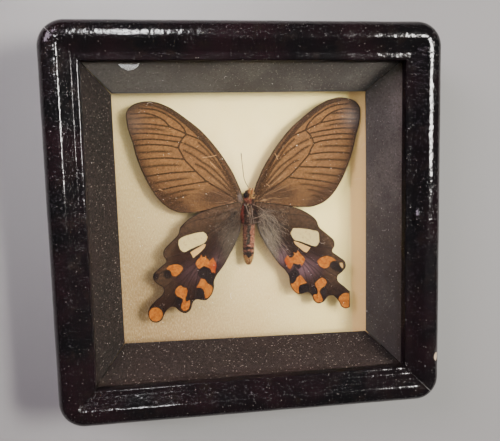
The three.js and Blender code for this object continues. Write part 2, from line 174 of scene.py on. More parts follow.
# Pale scratches in the scales of each forewing
SCRATCHES = {
    "forewing_left": [[(20.1, 28), (16.6, 28.3), (13.9, 28.9)], [(16.9, 26), (15.3, 24.2), (14.4, 23)],
                      [(21.9, 33.2), (22.8, 32.6)], [(40.2, 14.3), (38.6, 13.9)]],
    "forewing_right": [[(12.7, 28.4), (13.4, 27), (14, 25.5)], [(13.4, 27), (14.6, 27.1)],
                       [(8.6, 14.5), (10, 13.4)]],
}
HIND_VEINS = [
    [(5.3, 5), (12.4, 2.4), (18.9, 0.8), (25.4, -0.3), (30.6, -2.8)],
    [(5.3, 3.6), (12.5, -2.2), (18.7, -6.2), (23.8, -9.2), (29.6, -14.1), (38.8, -16.8)],
    [(5.3, 3.6), (12.6, -4.1), (19.2, -9.9), (24.5, -13.4), (28.8, -17.9), (37.6, -21.7), (43.9, -25)],
    [(19.2, -9.9), (25.1, -18.6), (29.9, -22.6), (35.1, -27), (40, -30.4)],
    [(12.6, -4.1), (18.4, -11.8), (24.7, -20.9), (30, -25.9), (35.8, -32.6), (40.1, -38.1), (45.8, -44.8)],
    [(24.7, -20.9), (28.6, -26.4), (32, -31), (35, -36.5), (36.4, -39.2)],
    [(18.4, -11.8), (22.4, -20.6), (26.3, -25.6), (29.3, -32.1), (30.3, -42.2)],
    [(22.4, -20.6), (24.4, -26.6), (25.6, -32.3), (26.2, -36.8)],
    [(12.6, -4.1), (16.5, -12.8), (19.5, -19.3), (20.2, -26.4), (20.6, -36.8)],
    [(5.3, 3.6), (9.8, -6.5), (13.8, -15.8), (16, -24.4)],
]

# Markings of the hindwings on the card plane, each drawn as a closed outline.
# A disc has its middle and its radius.
LEFT_MARKS = {
    "white": [
        [(-30.4, -11.2), (-30.2, -9.1), (-29.1, -8.1), (-26.4, -7.1), (-22.5, -6.2), (-19.1, -5.9),
         (-17.9, -6.9), (-17.2, -8.2), (-17.8, -9.9), (-18.9, -11.1), (-21.5, -12.1), (-24.5, -13.2),
         (-27.5, -14.6), (-28.7, -14.4), (-29.9, -13)],
    ],
    "cream": [
        [(-25.2, -14.9), (-21.9, -13.1), (-19.1, -11.5), (-18.1, -11.6), (-18.7, -13.1), (-20.3, -14.7),
         (-22.7, -16.6), (-24, -17.6), (-24.6, -16.2)],
    ],
    "orange": [
        [(-23.1, -20.1), (-22.1, -18.5), (-20.8, -17.5), (-20.3, -16.1), (-19.8, -17.4), (-18.7, -17.4),
         (-18.3, -16.5), (-18.1, -17.8), (-17.5, -18.4), (-16.6, -19.4), (-15.6, -18.3), (-14.9, -17.7),
         (-14.6, -19), (-13.8, -20.2), (-13.5, -22), (-14.1, -23.7), (-14.3, -25.3), (-14.9, -24.5),
         (-15.8, -24.9), (-16.3, -23.2), (-17.1, -22.5), (-18, -22.1), (-19.1, -21.5), (-20.5, -22.1),
         (-21.4, -22.8), (-22.2, -22.1), (-22.7, -20.9)],
        [(-36.3, -21.8), (-35.1, -20.7), (-33.2, -20.1), (-31.1, -20.1), (-29.6, -20.8), (-28.7, -22.1),
         (-29.3, -23.1), (-30.6, -24.6), (-32.1, -25.6), (-33.4, -25.4), (-34.1, -24.5), (-34.2, -23.3),
         (-34.9, -22.6), (-35.9, -22.2)],
        [(-23.2, -31.3), (-21.6, -29), (-20.8, -27.2), (-19, -27.7), (-18, -29.6), (-16.5, -30.5),
         (-15.7, -31.5), (-15.7, -32.8), (-16.6, -34.9), (-17.9, -36.2), (-19.1, -36.6), (-19.4, -35.7),
         (-19.4, -33.7), (-20, -32.3), (-21, -31.5), (-22.2, -31.3)],
        [(-32.7, -32.8), (-32.1, -31.2), (-31, -30.2), (-30, -29.8), (-29.1, -30.8), (-27.6, -31.2),
         (-27.1, -32.4), (-27.5, -34.3), (-28.2, -36.1), (-28, -37.5), (-27.2, -37.3), (-26.3, -36.8),
         (-26.2, -38.8), (-26.9, -40.8), (-28.2, -41.8), (-29.5, -41.5), (-30.3, -40.1), (-30.1, -38.6),
         (-29.4, -37.3), (-29.4, -36.1), (-30.7, -35.3), (-31.8, -34.8), (-32.5, -33.7)],
    ],
    "discs": [(-41.95, -42.65, 3.25)],
    "black": [
        [(-21.8, -23.1), (-20.5, -22.3), (-19.1, -21.8), (-17.1, -22.8), (-16.3, -23.7), (-15.8, -25.2),
         (-14.4, -25.5), (-14.5, -28), (-15.5, -30), (-16.3, -30.5), (-17.8, -29.3), (-19, -27.5),
         (-20.7, -26.8), (-22.3, -25.5)],
        [(-36.1, -22.3), (-34.9, -22.8), (-34.3, -23.5), (-34.1, -24.7), (-34.6, -26.4), (-36.4, -26.6),
         (-37.7, -25.2), (-37.3, -23)],
        [(-22.5, -31.5), (-21.1, -31.9), (-20.3, -32.5), (-19.6, -33.8), (-19.5, -36.4), (-21, -36.5),
         (-22.4, -35.9), (-23.3, -34.1)],
        [(-32.7, -35.1), (-30.8, -35.5), (-29.6, -36.3), (-29.6, -37.2), (-30.4, -38.5), (-30.6, -40.2),
         (-31.7, -39.3), (-32.8, -37.5)],
        [(-27.2, -33.1), (-26.4, -34.5), (-26.1, -36.5), (-27.3, -37.1), (-27.9, -36.8), (-28, -36.1),
         (-27.4, -34.6)],
        [(-42.1, -24.9), (-41.3, -23.8), (-40, -24.1), (-39.7, -25.4), (-40.2, -26.7), (-41.6, -26.4)],
        [(-41.1, -39.4), (-39.8, -39.1), (-38.6, -40.5), (-38.5, -42), (-39.5, -40.6)],
    ],
}
RIGHT_MARKS = {
    "white": [
        [(21.2, -8.1), (22.5, -5.9), (24.9, -5.9), (29.4, -6.6), (33.8, -7.7), (34.5, -8.8), (34.7, -12.4),
         (34, -13.9), (33.1, -14.8), (31, -14.3), (28.4, -13.2), (25.7, -12.1), (23.1, -11.5), (22, -10.1)],
    ],
    "cream": [
        [(22.5, -11.8), (24.4, -12.4), (27.5, -13.8), (30.4, -15.2), (29.4, -16.6), (28.5, -17.5),
         (27, -16.7), (24.8, -14.8), (23.1, -13.2)],
        [(44.3, -23.1), (45.7, -23.1), (46.1, -24.5), (45.9, -25.9), (45, -25.1), (44.4, -24.1)],
    ],
    "orange": [
        [(18, -20.7), (18.7, -19.4), (19.6, -18.3), (20.5, -19.6), (21.7, -19.6), (22.8, -18.3), (22.4, -17),
         (23.3, -17.6), (24, -17.3), (24.3, -16.2), (25.4, -17.7), (26.9, -19.3), (27.8, -20.7),
         (27.1, -22.2), (26.2, -23.9), (25.5, -22.6), (24.2, -22.8), (23.3, -22.5), (22.2, -22.1),
         (21.6, -23.5), (20.8, -25.1), (19.7, -24.2), (18.7, -22.3)],
        [(33.5, -21.9), (34.6, -20.6), (36.4, -19.8), (38.2, -19.5), (40.4, -20.2), (41.8, -21.1),
         (42.7, -22.1), (40.9, -22), (39.7, -22.9), (39.3, -24.4), (38.1, -25.2), (36.8, -25.4),
         (35.2, -24.5), (34.1, -23.3)],
        [(20.2, -29.7), (20.8, -31.7), (21.6, -32), (23.1, -30.8), (23.7, -29.2), (24.6, -28.5),
         (25.4, -27.9), (26.6, -29.3), (27.7, -30.9), (28.5, -31.7), (26.5, -32.2), (25, -32.8),
         (24.4, -34.1), (24.5, -35.9), (25.2, -37.7), (24, -37.3), (22.7, -35.9), (21.6, -34.7),
         (20.7, -33.3), (20.2, -31.7)],
        [(32.3, -32.3), (33.3, -31.2), (34.5, -30.2), (35.8, -29.7), (37.4, -30.6), (38, -32.2),
         (37.1, -33.7), (35.9, -34.3), (34.8, -35.2), (34.4, -36.5), (35.3, -38.3), (36, -40.4),
         (35.2, -41.4), (33.4, -41.5), (32.1, -40.5), (31.3, -38.3), (31.7, -37.5), (33.3, -37.5),
         (33.7, -36.4), (33.3, -34.7), (32.6, -33.7)],
    ],
    "discs": [(47.1, -41.3, 3.6)],
    "black": [
        [(40, -23), (41.1, -22.2), (42.7, -22.3), (44.2, -23.9), (45, -25.3), (45.7, -26.1), (45.7, -27.3),
         (44.5, -27.6), (42.2, -26.6), (40.4, -25.6), (39.4, -24.4)],
        [(25.5, -33), (26.8, -32.5), (28.8, -32.4), (30, -34), (29.1, -35.7), (26.7, -36.1), (25.3, -36.9),
         (24.6, -35.7), (24.6, -34.3)],
        [(19.9, -26.7), (21.9, -25.2), (22.5, -23.8), (24.6, -26.1), (25.1, -27.7), (24.4, -28.4),
         (23.5, -29.1), (22.9, -30.7), (21.7, -31.6), (21, -31.3), (20.4, -29.3)],
        [(34.9, -35.3), (36.2, -34.5), (37.7, -34.4), (37.6, -36.7), (36.9, -38.9), (36.3, -39.8),
         (35.5, -38.3), (34.7, -36.7)],
        [(30.8, -34), (32.3, -34), (33.1, -35.6), (33.1, -37.1), (31.4, -37.2), (30.5, -35.8)],
        [(22, -22.4), (23.1, -22.7), (24.3, -23.1), (25.3, -23), (26, -24.2), (24.6, -25.2), (23, -23.8)],
    ],
}
HIND_MARKS = {"hindwing_left": LEFT_MARKS, "hindwing_right": RIGHT_MARKS}

# Body
BODY_PROFILE = [
    (-23, 0), (-22.4, 0.6), (-21, 1.5), (-19.4, 2.1), (-17.9, 2.5), (-17.6, 2.35), (-15.6, 2.65),
    (-15.3, 2.5), (-13, 2.75), (-12.7, 2.6), (-10.4, 2.8), (-10.1, 2.65), (-7.8, 2.8), (-7.5, 2.65),
    (-5.2, 2.75), (-4.9, 2.6), (-3.4, 2.7), (-2.6, 3.2), (-1, 3.9), (1.4, 4.1), (4, 3.8),
    (6, 2.9), (6.8, 2.2), (7.4, 1.9), (8.6, 2.3), (10.2, 2.3), (11.6, 1.6), (12.4, 0.7), (12.6, 0),
]
BODY_TILT = math.radians(-2.1)
BODY_X = 2.3
BODY_HEIGHT = 8.5
BODY_FLATTEN = 0.92
BODY_SIDES = 48
EYES = [(-1.7, 9.8, 0.5), (1.7, 9.8, 0.5)]
EYE_RADIUS = 1.1
PALPS = [
    [(-0.5, 10.5, 1.2), (-0.2, 12.2, 1.9), (0.3, 13.4, 1.9)],
    [(0.9, 10.5, 1.2), (1.2, 12.2, 1.7), (1.4, 13.2, 1.6)],
]
LEGS = [
    [(-2.1, 6, 2.6), (-1.4, 3.6, 3.9), (-0.4, 0.4, 4), (0.2, -2.6, 3.2)],
    [(0.6, 5.4, 3.2), (0.9, 2.8, 4.1), (1.3, -0.4, 3.9), (2, -3, 3)],
    [(-0.8, 2.6, 3.4), (0.3, 0.2, 4.3), (0.6, -3, 3.4), (0.4, -5.8, 2.8)],
    [(1.6, 5.8, 2.4), (4.2, 4.6, 4), (6.6, 2.9, 3.4), (9.8, 2.4, 2.8)],
    [(1.4, -0.6, 3.2), (3.8, 0.2, 3.8), (6, 1.2, 3.2), (8, 2.4, 2.8)],
    [(1.6, -2.6, 2.4), (4, -2.2, 3.4), (6.2, -1, 3), (8, 0.2, 2.6)],
]
LEG_RADIUS = 0.17
HAIR_COUNT = 9000
ANTENNA_ROUTE = [(2.1, 13.6, 9.9), (0.4, 17.2, 10.2), (-0.3, 22.6, 10.6), (-0.9, 29.2, 10.8)]
ANTENNA_RADIUS = 0.19

# Camera, in metres: its place, what it looks at on the glass, and which way is up in the picture
CAMERA_PLACE = (-0.03219, 0.02723, 0.27044)
CAMERA_AIM = (-0.00045, 0.00085, 0.033)
CAMERA_UP = (0.0385, 0.9937, -0.1052)
PHOTO_WIDTH = 500
FOCAL_PIXELS = 575.02
SENSOR_WIDTH = 36

# Lights, in metres, watts and degrees. The lamp reaches only what is within its narrow spread.
MIDDLE = (0, 0, 0.02)
TOP_LEFT = (-0.05, 0.07, 0.035)
LIGHTS = [
    {"name": "key", "shape": "RECTANGLE", "place": (0.385, 0.11, 0.62), "aim": MIDDLE,
     "size": (0.12, 0.22), "power": 7.4, "spread": 180, "colour": (1, 0.97, 0.93)},
    {"name": "fill", "shape": "RECTANGLE", "place": (-0.7, 0.55, 0.75), "aim": MIDDLE,
     "size": (0.6, 0.4), "power": 7.5, "spread": 180, "colour": (1, 0.82, 1)},
    {"name": "lamp", "shape": "ELLIPSE", "place": (-0.076, 0.247, 0.477), "aim": TOP_LEFT,
     "size": (0.075, 0.24), "power": 0.08, "spread": 28, "colour": (1, 1, 1)},
]
ROOM_COLOUR = (0.97, 0.98, 1, 1)
ROOM_STRENGTH = 0.12
FLOOR_REACH = 3.0


# Meshes
def make_mesh(name, vertices, faces, smooth=True):
    data = bpy.data.meshes.new(name)
    data.from_pydata([tuple(v) for v in np.asarray(vertices, float) * MM], [], [tuple(f) for f in faces])
    data.update()
    if smooth:
        data.shade_smooth()
    piece = bpy.data.objects.new(name, data)
    bpy.context.scene.collection.objects.link(piece)
    return piece


def set_values(piece, name, values):
    """Gives each vertex a number that the material reads."""
    attribute = piece.data.attributes.new(name, "FLOAT", "POINT")
    attribute.data.foreach_set("value", np.asarray(values, np.float32).ravel())


def set_colours(piece, name, colours):
    attribute = piece.data.attributes.new(name, "FLOAT_COLOR", "POINT")
    rgba = np.ones((len(colours), 4), np.float32)
    rgba[:, :3] = colours
    attribute.data.foreach_set("color", rgba.ravel())


def dress(piece, material, slot, *nodes):
    """Finishes a piece: its material, the CAD nodes that it stands for, and its body; the slot is not used.
    """
    piece.data.materials.append(material)
    if nodes:
        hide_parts(*nodes)
    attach(piece, "root")
    return piece


def noise_at(points, size, seed):
    """Smooth noise from -1 to 1 at each point, with blobs of about that size."""
    offset = Vector((seed * 17.3, seed * 5.1, seed * 9.7))
    return np.array([noise.noise(Vector(p) / size + offset) for p in points])


def spline(points, steps, closed=False):
    """Centripetal Catmull-Rom curve through the points."""
    points = np.asarray(points, float)
    count = len(points)
    spans = count if closed else count - 1
    result = []
    for i in range(spans):
        p1 = points[i]
        p2 = points[(i + 1) % count]
        p0 = points[(i - 1) % count] if closed or i > 0 else 2 * p1 - p2
        p3 = points[(i + 2) % count] if closed or i + 2 < count else 2 * p2 - p1
        d0, d1, d2 = [max(np.linalg.norm(b - a), 1e-6) ** 0.5 for a, b in ((p0, p1), (p1, p2), (p2, p3))]
        m1 = ((p1 - p0) / d0 - (p2 - p0) / (d0 + d1) + (p2 - p1) / d1) * d1
        m2 = ((p2 - p1) / d1 - (p3 - p1) / (d1 + d2) + (p3 - p2) / d2) * d1
        for k in range(steps):
            t = k / steps
            a = 2 * t**3 - 3 * t**2 + 1
            b = t**3 - 2 * t**2 + t
            c = -2 * t**3 + 3 * t**2
            d = t**3 - t**2
            result.append(a * p1 + b * m1 + c * p2 + d * m2)
    if not closed:
        result.append(points[-1])
    return np.array(result)


def resample(line, step, closed=False):
    """The same line with points a step apart."""
    line = np.asarray(line)
    if closed:
        line = np.vstack([line, line[:1]])
    lengths = np.linalg.norm(np.diff(line, axis=0), axis=1)
    run = np.concatenate([[0], np.cumsum(lengths)])
    count = max(2, int(round(run[-1] / step)))
    places = np.linspace(0, run[-1], count, endpoint=not closed)
    return np.stack([np.interp(places, run, line[:, i]) for i in range(line.shape[1])], axis=1)


def distance_to_line(points, line):
    """Distance from each point to a line of points, and how far along the line the nearest place is."""
    best = np.full(len(points), 1e9)
    place = np.zeros(len(points))
    spans = len(line) - 1
    for i in range(spans):
        a, b = line[i], line[i + 1]
        ab = b - a
        t = np.clip(((points - a) @ ab) / max(ab @ ab, 1e-12), 0, 1)
        d = np.linalg.norm(points - (a + t[:, None] * ab), axis=1)
        closer = d < best
        best[closer] = d[closer]
        place[closer] = (i + t[closer]) / spans
    return best, place


def inside(points, ring):
    """Whether each point is inside a closed ring."""
    result = np.zeros(len(points), bool)
    x, y = points[:, 0], points[:, 1]
    for (x0, y0), (x1, y1) in zip(ring, np.roll(ring, -1, axis=0)):
        crosses = (y0 > y) != (y1 > y)
        if y1 != y0:
            result ^= crosses & (x < (x1 - x0) * (y - y0) / (y1 - y0) + x0)
    return result


def signed_distance(points, ring):
    """Distance to a closed ring, positive inside."""
    d, _ = distance_to_line(points, np.vstack([ring, ring[:1]]))
    return np.where(inside(points, ring), d, -d)


def ring_faces(rings, sides):
    """Four-sided faces between closed rings of points that follow one another."""
    faces = []
    for i in range(rings - 1):
        for k in range(sides):
            a = i * sides + k
            b = i * sides + (k + 1) % sides
            faces.append((a, b, b + sides, a + sides))
    return faces


def tube(route, radii, sides):
    """Closed round limb along a route: vertices and faces."""
    route = np.asarray(route, float)
    directions = np.gradient(route, axis=0)
    directions /= np.linalg.norm(directions, axis=1)[:, None]
    helper = np.array([0.31, 0.17, 0.93])
    vertices = []
    for point, direction, radius in zip(route, directions, radii):
        across = np.cross(direction, helper)
        across /= np.linalg.norm(across)
        up = np.cross(across, direction)
        for k in range(sides):
            angle = TURN * k / sides
            vertices.append(point + radius * (math.cos(angle) * across + math.sin(angle) * up))
    faces = ring_faces(len(route), sides)
    last = (len(route) - 1) * sides
    faces.append(tuple(range(sides - 1, -1, -1)))
    faces.append(tuple(last + k for k in range(sides)))
    return vertices, faces


def join_parts(parts):
    """Several lists of vertices and faces as one."""
    vertices, faces = [], []
    for more_vertices, more_faces in parts:
        start = len(vertices)
        vertices.extend(more_vertices)
        faces.extend(tuple(start + i for i in face) for face in more_faces)
    return vertices, faces


# Node trees of the materials
class Paint:
    """A material whose colour, roughness and bump are built up node by node."""

    def __init__(self, name):
        self.material = bpy.data.materials.new(name)
        self.material.use_nodes = True
        self.nodes = self.material.node_tree.nodes
        self.links = self.material.node_tree.links
        self.shader = self.nodes["Principled BSDF"]
        self.place = self.nodes.new("ShaderNodeTexCoord").outputs["Object"]

    def put(self, socket, value):
        if isinstance(value, bpy.types.NodeSocket):
            self.links.new(value, socket)
        elif socket.type == "RGBA" and len(value) == 3:
            socket.default_value = (*value, 1)
        else:
            socket.default_value = value

    def set(self, **values):
        for name, value in values.items():
            self.put(self.shader.inputs[name.replace("_", " ")], value)

    def attribute(self, name):
        node = self.nodes.new("ShaderNodeAttribute")
        node.attribute_name = name
        return node.outputs

    def value(self, name):
        return self.attribute(name)["Fac"]

    def colour(self, name):
        return self.attribute(name)["Color"]

    def axes(self):
        """The place in metres as separate x, y and z."""
        node = self.nodes.new("ShaderNodeSeparateXYZ")
        self.links.new(self.place, node.inputs[0])
        return node.outputs["X"], node.outputs["Y"], node.outputs["Z"]

    def stretch(self, scale):
        node = self.nodes.new("ShaderNodeMapping")
        node.inputs["Scale"].default_value = scale
        self.links.new(self.place, node.inputs["Vector"])
        return node.outputs["Vector"]

    def noise(self, size, detail=3, rough=0.6, place=None):
        """Noise from 0 to 1 with blobs of that size in millimetres."""
        node = self.nodes.new("ShaderNodeTexNoise")
        node.inputs["Scale"].default_value = 1 / (size * MM)
        node.inputs["Detail"].default_value = detail
        node.inputs["Roughness"].default_value = rough
        self.links.new(place or self.place, node.inputs["Vector"])
        return node.outputs["Fac"]

    def cells(self, size, place=None):
        """Distance to the nearest of a scatter of points, about that far apart in millimetres."""
        node = self.nodes.new("ShaderNodeTexVoronoi")
        node.inputs["Scale"].default_value = 1 / (size * MM)
        self.links.new(place or self.place, node.inputs["Vector"])
        return node.outputs["Distance"]

    def math(self, kind, a, b=0.0):
        node = self.nodes.new("ShaderNodeMath")
        node.operation = kind
        self.put(node.inputs[0], a)
        self.put(node.inputs[1], b)
        return node.outputs[0]

    def times(self, a, b):
        return self.math("MULTIPLY", a, b)

    def plus(self, a, b):
        return self.math("ADD", a, b)

    def minus(self, a, b):
        return self.math("SUBTRACT", a, b)

    def span(self, value, low, high, to_low=0.0, to_high=1.0):
        """Maps low to high onto to_low to to_high, smoothly and with the ends held."""
        node = self.nodes.new("ShaderNodeMapRange")
        node.interpolation_type = "SMOOTHSTEP"
        for socket, number in zip(node.inputs[:5], (value, low, high, to_low, to_high)):
            self.put(socket, number)
        return node.outputs["Result"]

    def mix(self, amount, a, b, kind="MIX"):
        node = self.nodes.new("ShaderNodeMix")
        node.data_type = "RGBA"
        node.blend_type = kind
        self.put(node.inputs["Factor"], amount)
        colours = [s for s in node.inputs if s.type == "RGBA"]
        self.put(colours[0], a)
        self.put(colours[1], b)
        return [s for s in node.outputs if s.type == "RGBA"][0]

    def bump(self, height, strength, depth, below=None):
        """Bump of that depth in millimetres, over another bump if one is given."""
        node = self.nodes.new("ShaderNodeBump")
        node.inputs["Strength"].default_value = strength
        node.inputs["Distance"].default_value = depth * MM
        self.links.new(height, node.inputs["Height"])
        if below:
            self.links.new(below, node.inputs["Normal"])
        return node.outputs["Normal"]


def lacquer_material():
    """Thick dark lacquer over wood: glossy, uneven and full of dust nibs, chipped in one place."""
    paint = Paint("dark lacquer")
    tint = paint.span(paint.noise(26, 2), 0.35, 0.65)
    deep = paint.mix(tint, (0.0035, 0.003, 0.0034), (0.0105, 0.0045, 0.0058))
    streaks = paint.span(paint.noise(6, 4), 0.5, 0.75)
    worn = paint.mix(streaks, deep, (0.012, 0.0075, 0.0065))
    specks = paint.span(paint.cells(1.5), 0.14, 0.07)
    sparse = paint.times(specks, paint.span(paint.noise(4, 2), 0.48, 0.58))
    dusty = paint.mix(paint.times(sparse, 0.7), worn, (0.3, 0.28, 0.25))
    wood = paint.mix(paint.noise(0.5, 4), (0.5, 0.36, 0.22), (0.72, 0.58, 0.42))
    bare = paint.span(paint.value("bare"), 0.35, 0.6)
    paint.set(Base_Color=paint.mix(bare, dusty, wood))
    gloss = paint.span(paint.noise(3, 3), 0.3, 0.7, 0.07, 0.15)
    inner = paint.value("inner")
    raw = paint.times(paint.plus(bare, inner), 0.45)
    paint.set(Roughness=paint.plus(gloss, raw))
    paint.set(Specular_IOR_Level=paint.span(inner, 0, 1, 0.5, 0.08))
    paint.set(IOR=1.42)
    sag = paint.bump(paint.noise(5, 1), 0.8, 0.22)
    peel = paint.bump(paint.noise(1.4, 1), 1.0, 0.08, sag)
    nibs = paint.bump(paint.span(paint.cells(2.1), 0.2, 0.06), 1.0, 0.11, peel)
    grit = paint.bump(paint.span(paint.cells(1), 0.3, 0.07), 1.0, 0.1, nibs)
    paint.set(Normal=grit)
    return paint.material


def liner_material():
    """Matt black card with a fine pale grain, a brown tint on one panel, and two panels made paler, partly by
    dust and partly by painted light.
    """
    paint = Paint("grainy black card")
    x, y, _ = paint.axes()
    bloom = paint.span(paint.noise(30, 2), 0.35, 0.7)
    dark = paint.mix(bloom, (0.0034, 0.0022, 0.0016), (0.0072, 0.004, 0.0033))
    right = paint.span(paint.minus(x, paint.math("ABSOLUTE", y)), -0.0005, 0.0005)
    top = paint.span(paint.minus(y, paint.math("ABSOLUTE", x)), -0.0005, 0.0005)
    # The right and top panels are made paler: partly dust, partly painted light. On the right panel the
    # paleness fades towards the bottom.
    fading = paint.times(right, paint.span(y, -0.05, 0.05, 0.36, 0.8))
    dusty_and_lit_panels = paint.math("MAXIMUM", fading, paint.times(top, 0.5))
    dust_and_painted_light = paint.times(dusty_and_lit_panels, paint.span(paint.noise(22, 2), 0.35, 0.65, 0.6, 0.95))
    low = paint.minus(paint.times(y, -1), paint.math("ABSOLUTE", x))
    browned = paint.mix(paint.span(low, -0.0005, 0.0005, 0, 0.28), dark, (0.023, 0.0135, 0.0115))
    base = paint.mix(dust_and_painted_light, browned, (0.15, 0.138, 0.122))
    grain = paint.span(paint.noise(1.2, 5, 0.85), 0.44, 0.64)
    grained = paint.mix(paint.times(grain, 0.6), base, (0.034, 0.025, 0.02))
    specks = paint.span(paint.cells(1.1), 0.26, 0.12)
    chosen = paint.times(specks, paint.span(paint.noise(2.2, 2), 0.45, 0.55))
    paint.set(Base_Color=paint.mix(chosen, grained, (0.17, 0.15, 0.13)))
    paint.set(Roughness=paint.span(paint.noise(0.6, 3), 0.3, 0.7, 0.6, 0.85))
    paint.set(Specular_IOR_Level=0.05)
    paint.set(Normal=paint.bump(paint.noise(0.6, 4, 0.7), 0.8, 0.12))
    return paint.material


def card_material():
    """Aged cream card: fine fibres, a few brown specks, painted light making it brighter and warmer towards
    the right, darker and tanner low on the left (partly age, partly painted light falloff), and tanner on the
    folded flap.
    """
    paint = Paint("aged cream card")
    x, y, _ = paint.axes()
    fibres = paint.noise(0.5, 5, 0.7, paint.stretch((1, 0.35, 1)))
    blotches = paint.span(paint.noise(28, 3), 0.35, 0.7)
    base = paint.mix(blotches, (0.85, 0.685, 0.315), (0.81, 0.625, 0.26))
    # Painted light: the card is made brighter and warmer towards its right side, where the key lamp falls.
    lit = paint.mix(paint.span(x, 0.005, 0.045, 0, 0.8), base, (0.95, 0.77, 0.29))
    # Darker and tanner towards the lower left: partly ageing of the card and partly painted falloff of the
    # light.
    low_left = paint.plus(paint.times(x, -0.95), paint.times(y, -0.85))
    aged = paint.mix(paint.span(low_left, -0.05, 0.084, 0, 1), lit, (0.215, 0.13, 0.052))
    fibrous = paint.mix(paint.span(fibres, 0.4, 0.7, 0, 0.2), aged, (0.8, 0.7, 0.4))
    specks = paint.span(paint.cells(5), 0.07, 0.03)
    chosen = paint.times(specks, paint.span(paint.noise(7, 2), 0.48, 0.56))
    foxed = paint.mix(paint.times(chosen, 0.6), fibrous, (0.2, 0.11, 0.05))
    flap = paint.span(paint.value("flap"), 0, 1.2)
    paint.set(Base_Color=paint.mix(flap, foxed, (0.71, 0.49, 0.19)))
    paint.set(Roughness=0.85)
    paint.set(Specular_IOR_Level=0.1)
    paint.set(Normal=paint.bump(fibres, 0.35, 0.05))
    return paint.material


def board_material():
    """Raw brown fibreboard."""
    paint = Paint("raw fibreboard")
    fibres = paint.noise(1.2, 5, 0.75, paint.stretch((1, 0.3, 1)))
    base = paint.mix(fibres, (0.16, 0.095, 0.05), (0.36, 0.235, 0.14))
    paint.set(Base_Color=paint.mix(paint.span(paint.noise(18, 3), 0.4, 0.7, 0, 0.4), base, (0.22, 0.15, 0.1)))
    paint.set(Roughness=0.85)
    paint.set(Normal=paint.bump(fibres, 0.5, 0.15))
    return paint.material


def glass_material():
    paint = Paint("clear glass")
    paint.set(Base_Color=(0.975, 0.99, 0.985))
    paint.set(Transmission_Weight=1.0)
    paint.set(Roughness=0.0)
    paint.set(IOR=1.46)
    return paint.material


def dust_material():
    paint = Paint("white dust")
    paint.set(Base_Color=paint.mix(paint.noise(0.4, 2), (0.55, 0.53, 0.5), (0.85, 0.84, 0.82)))
    paint.set(Roughness=0.9)
    return paint.material


def forewing_material():
    """Tan-brown scales, darker veins and stripes between them, and a grey-brown front edge."""
    paint = Paint("forewing scales")
    mottle = paint.noise(1.3, 5, 0.8)
    grain = paint.noise(0.5, 4, 0.8)
    base = paint.mix(paint.span(mottle, 0.35, 0.65), (0.078, 0.0345, 0.0098), (0.157, 0.077, 0.024))
    cloudy = paint.mix(paint.span(paint.noise(11, 2), 0.4, 0.65, 0, 0.35), base, (0.08, 0.037, 0.014))
    dim = paint.mix(paint.value("shade"), cloudy, (0.028, 0.0125, 0.0055))
    streaked = paint.mix(paint.value("streak"), dim, (0.3, 0.19, 0.09))
    striped = paint.mix(paint.value("stripe"), streaked, (0.018, 0.0068, 0.0018))
    wavering = paint.plus(paint.value("vein"), paint.times(grain, 0.14))
    veined = paint.mix(paint.span(wavering, 0.6, 0.28, 0, 0.95), striped, (0.013, 0.0046, 0.0012))
    edged = paint.mix(paint.value("costa"), veined, (0.022, 0.0115, 0.006))
    greyed = paint.mix(paint.value("bloom"), edged, (0.16, 0.145, 0.14))
    rim = paint.plus(paint.value("edge"), paint.times(grain, 0.5))
    rimmed = paint.mix(paint.span(rim, 0.95, 0.4), greyed, (0.011, 0.006, 0.003))
    scratch = paint.span(paint.value("scratch"), 0.26, 0.1)
    scratched = paint.mix(paint.times(scratch, 0.7), rimmed, (0.3, 0.18, 0.08))
    flecked = paint.mix(paint.span(grain, 0.5, 0.3, 0, 0.5), scratched, (0.026, 0.012, 0.004))
    paint.set(Base_Color=paint.mix(paint.span(grain, 0.52, 0.7, 0, 0.5), flecked, (0.22, 0.12, 0.04)))
    paint.set(Roughness=0.62)
    paint.set(Specular_IOR_Level=0.06)
    paint.set(Normal=paint.bump(grain, 0.6, 0.1))
    return paint.material


def hindwing_ground(paint, mottle):
    """Brown in front and purple-black behind, with a painted violet sheen, a grey bloom and dark veins."""
    patchy = paint.span(mottle, 0.35, 0.65)
    brown = paint.mix(patchy, (0.02, 0.0098, 0.0042), (0.05, 0.0268, 0.0125))
    purple = paint.mix(patchy, (0.0045, 0.0013, 0.0004), (0.0155, 0.0048, 0.0014))
    base = paint.mix(paint.value("purple"), brown, purple)
    # Painted sheen: a violet reflection put into the colour of the scales.
    violet = paint.mix(paint.times(paint.value("sheen"), 0.8), base, (0.085, 0.045, 0.05))
    grey = paint.mix(paint.value("grey"), violet, (0.165, 0.132, 0.09))
    return paint.mix(paint.span(paint.value("vein"), 0.42, 0.12, 0, 0.6), grey, (0.008, 0.004, 0.003))


def hindwing_marks(paint, ground, mottle):
    """Black, orange, cream and white marks whose edges waver a little."""
    waver = paint.times(paint.minus(paint.noise(0.9, 4, 0.8), 0.5), 0.45)

    def mark(name, low, high, strength=1.0):
        return paint.span(paint.plus(paint.value(name), waver), low, high, 0, strength)

    blacked = paint.mix(mark("black", -0.35, 0.25, 0.92), ground, (0.0045, 0.002, 0.0016))
    tone = paint.span(paint.noise(1.2, 4, 0.75), 0.35, 0.65)
    orange = paint.mix(tone, (0.15, 0.036, 0.0015), (0.26, 0.086, 0.0068))
    warm = paint.mix(paint.value("red"), orange, (0.17, 0.02, 0.0025))
    oranged = paint.mix(mark("orange", -0.1, 0.14), blacked, warm)
    creamed = paint.mix(mark("cream", -0.1, 0.12), oranged, (0.35, 0.215, 0.068))
    white = paint.mix(paint.span(mottle, 0.5, 0.7), (0.37, 0.285, 0.115), (0.24, 0.165, 0.068))
    return paint.mix(mark("white", -0.1, 0.12), creamed, white)


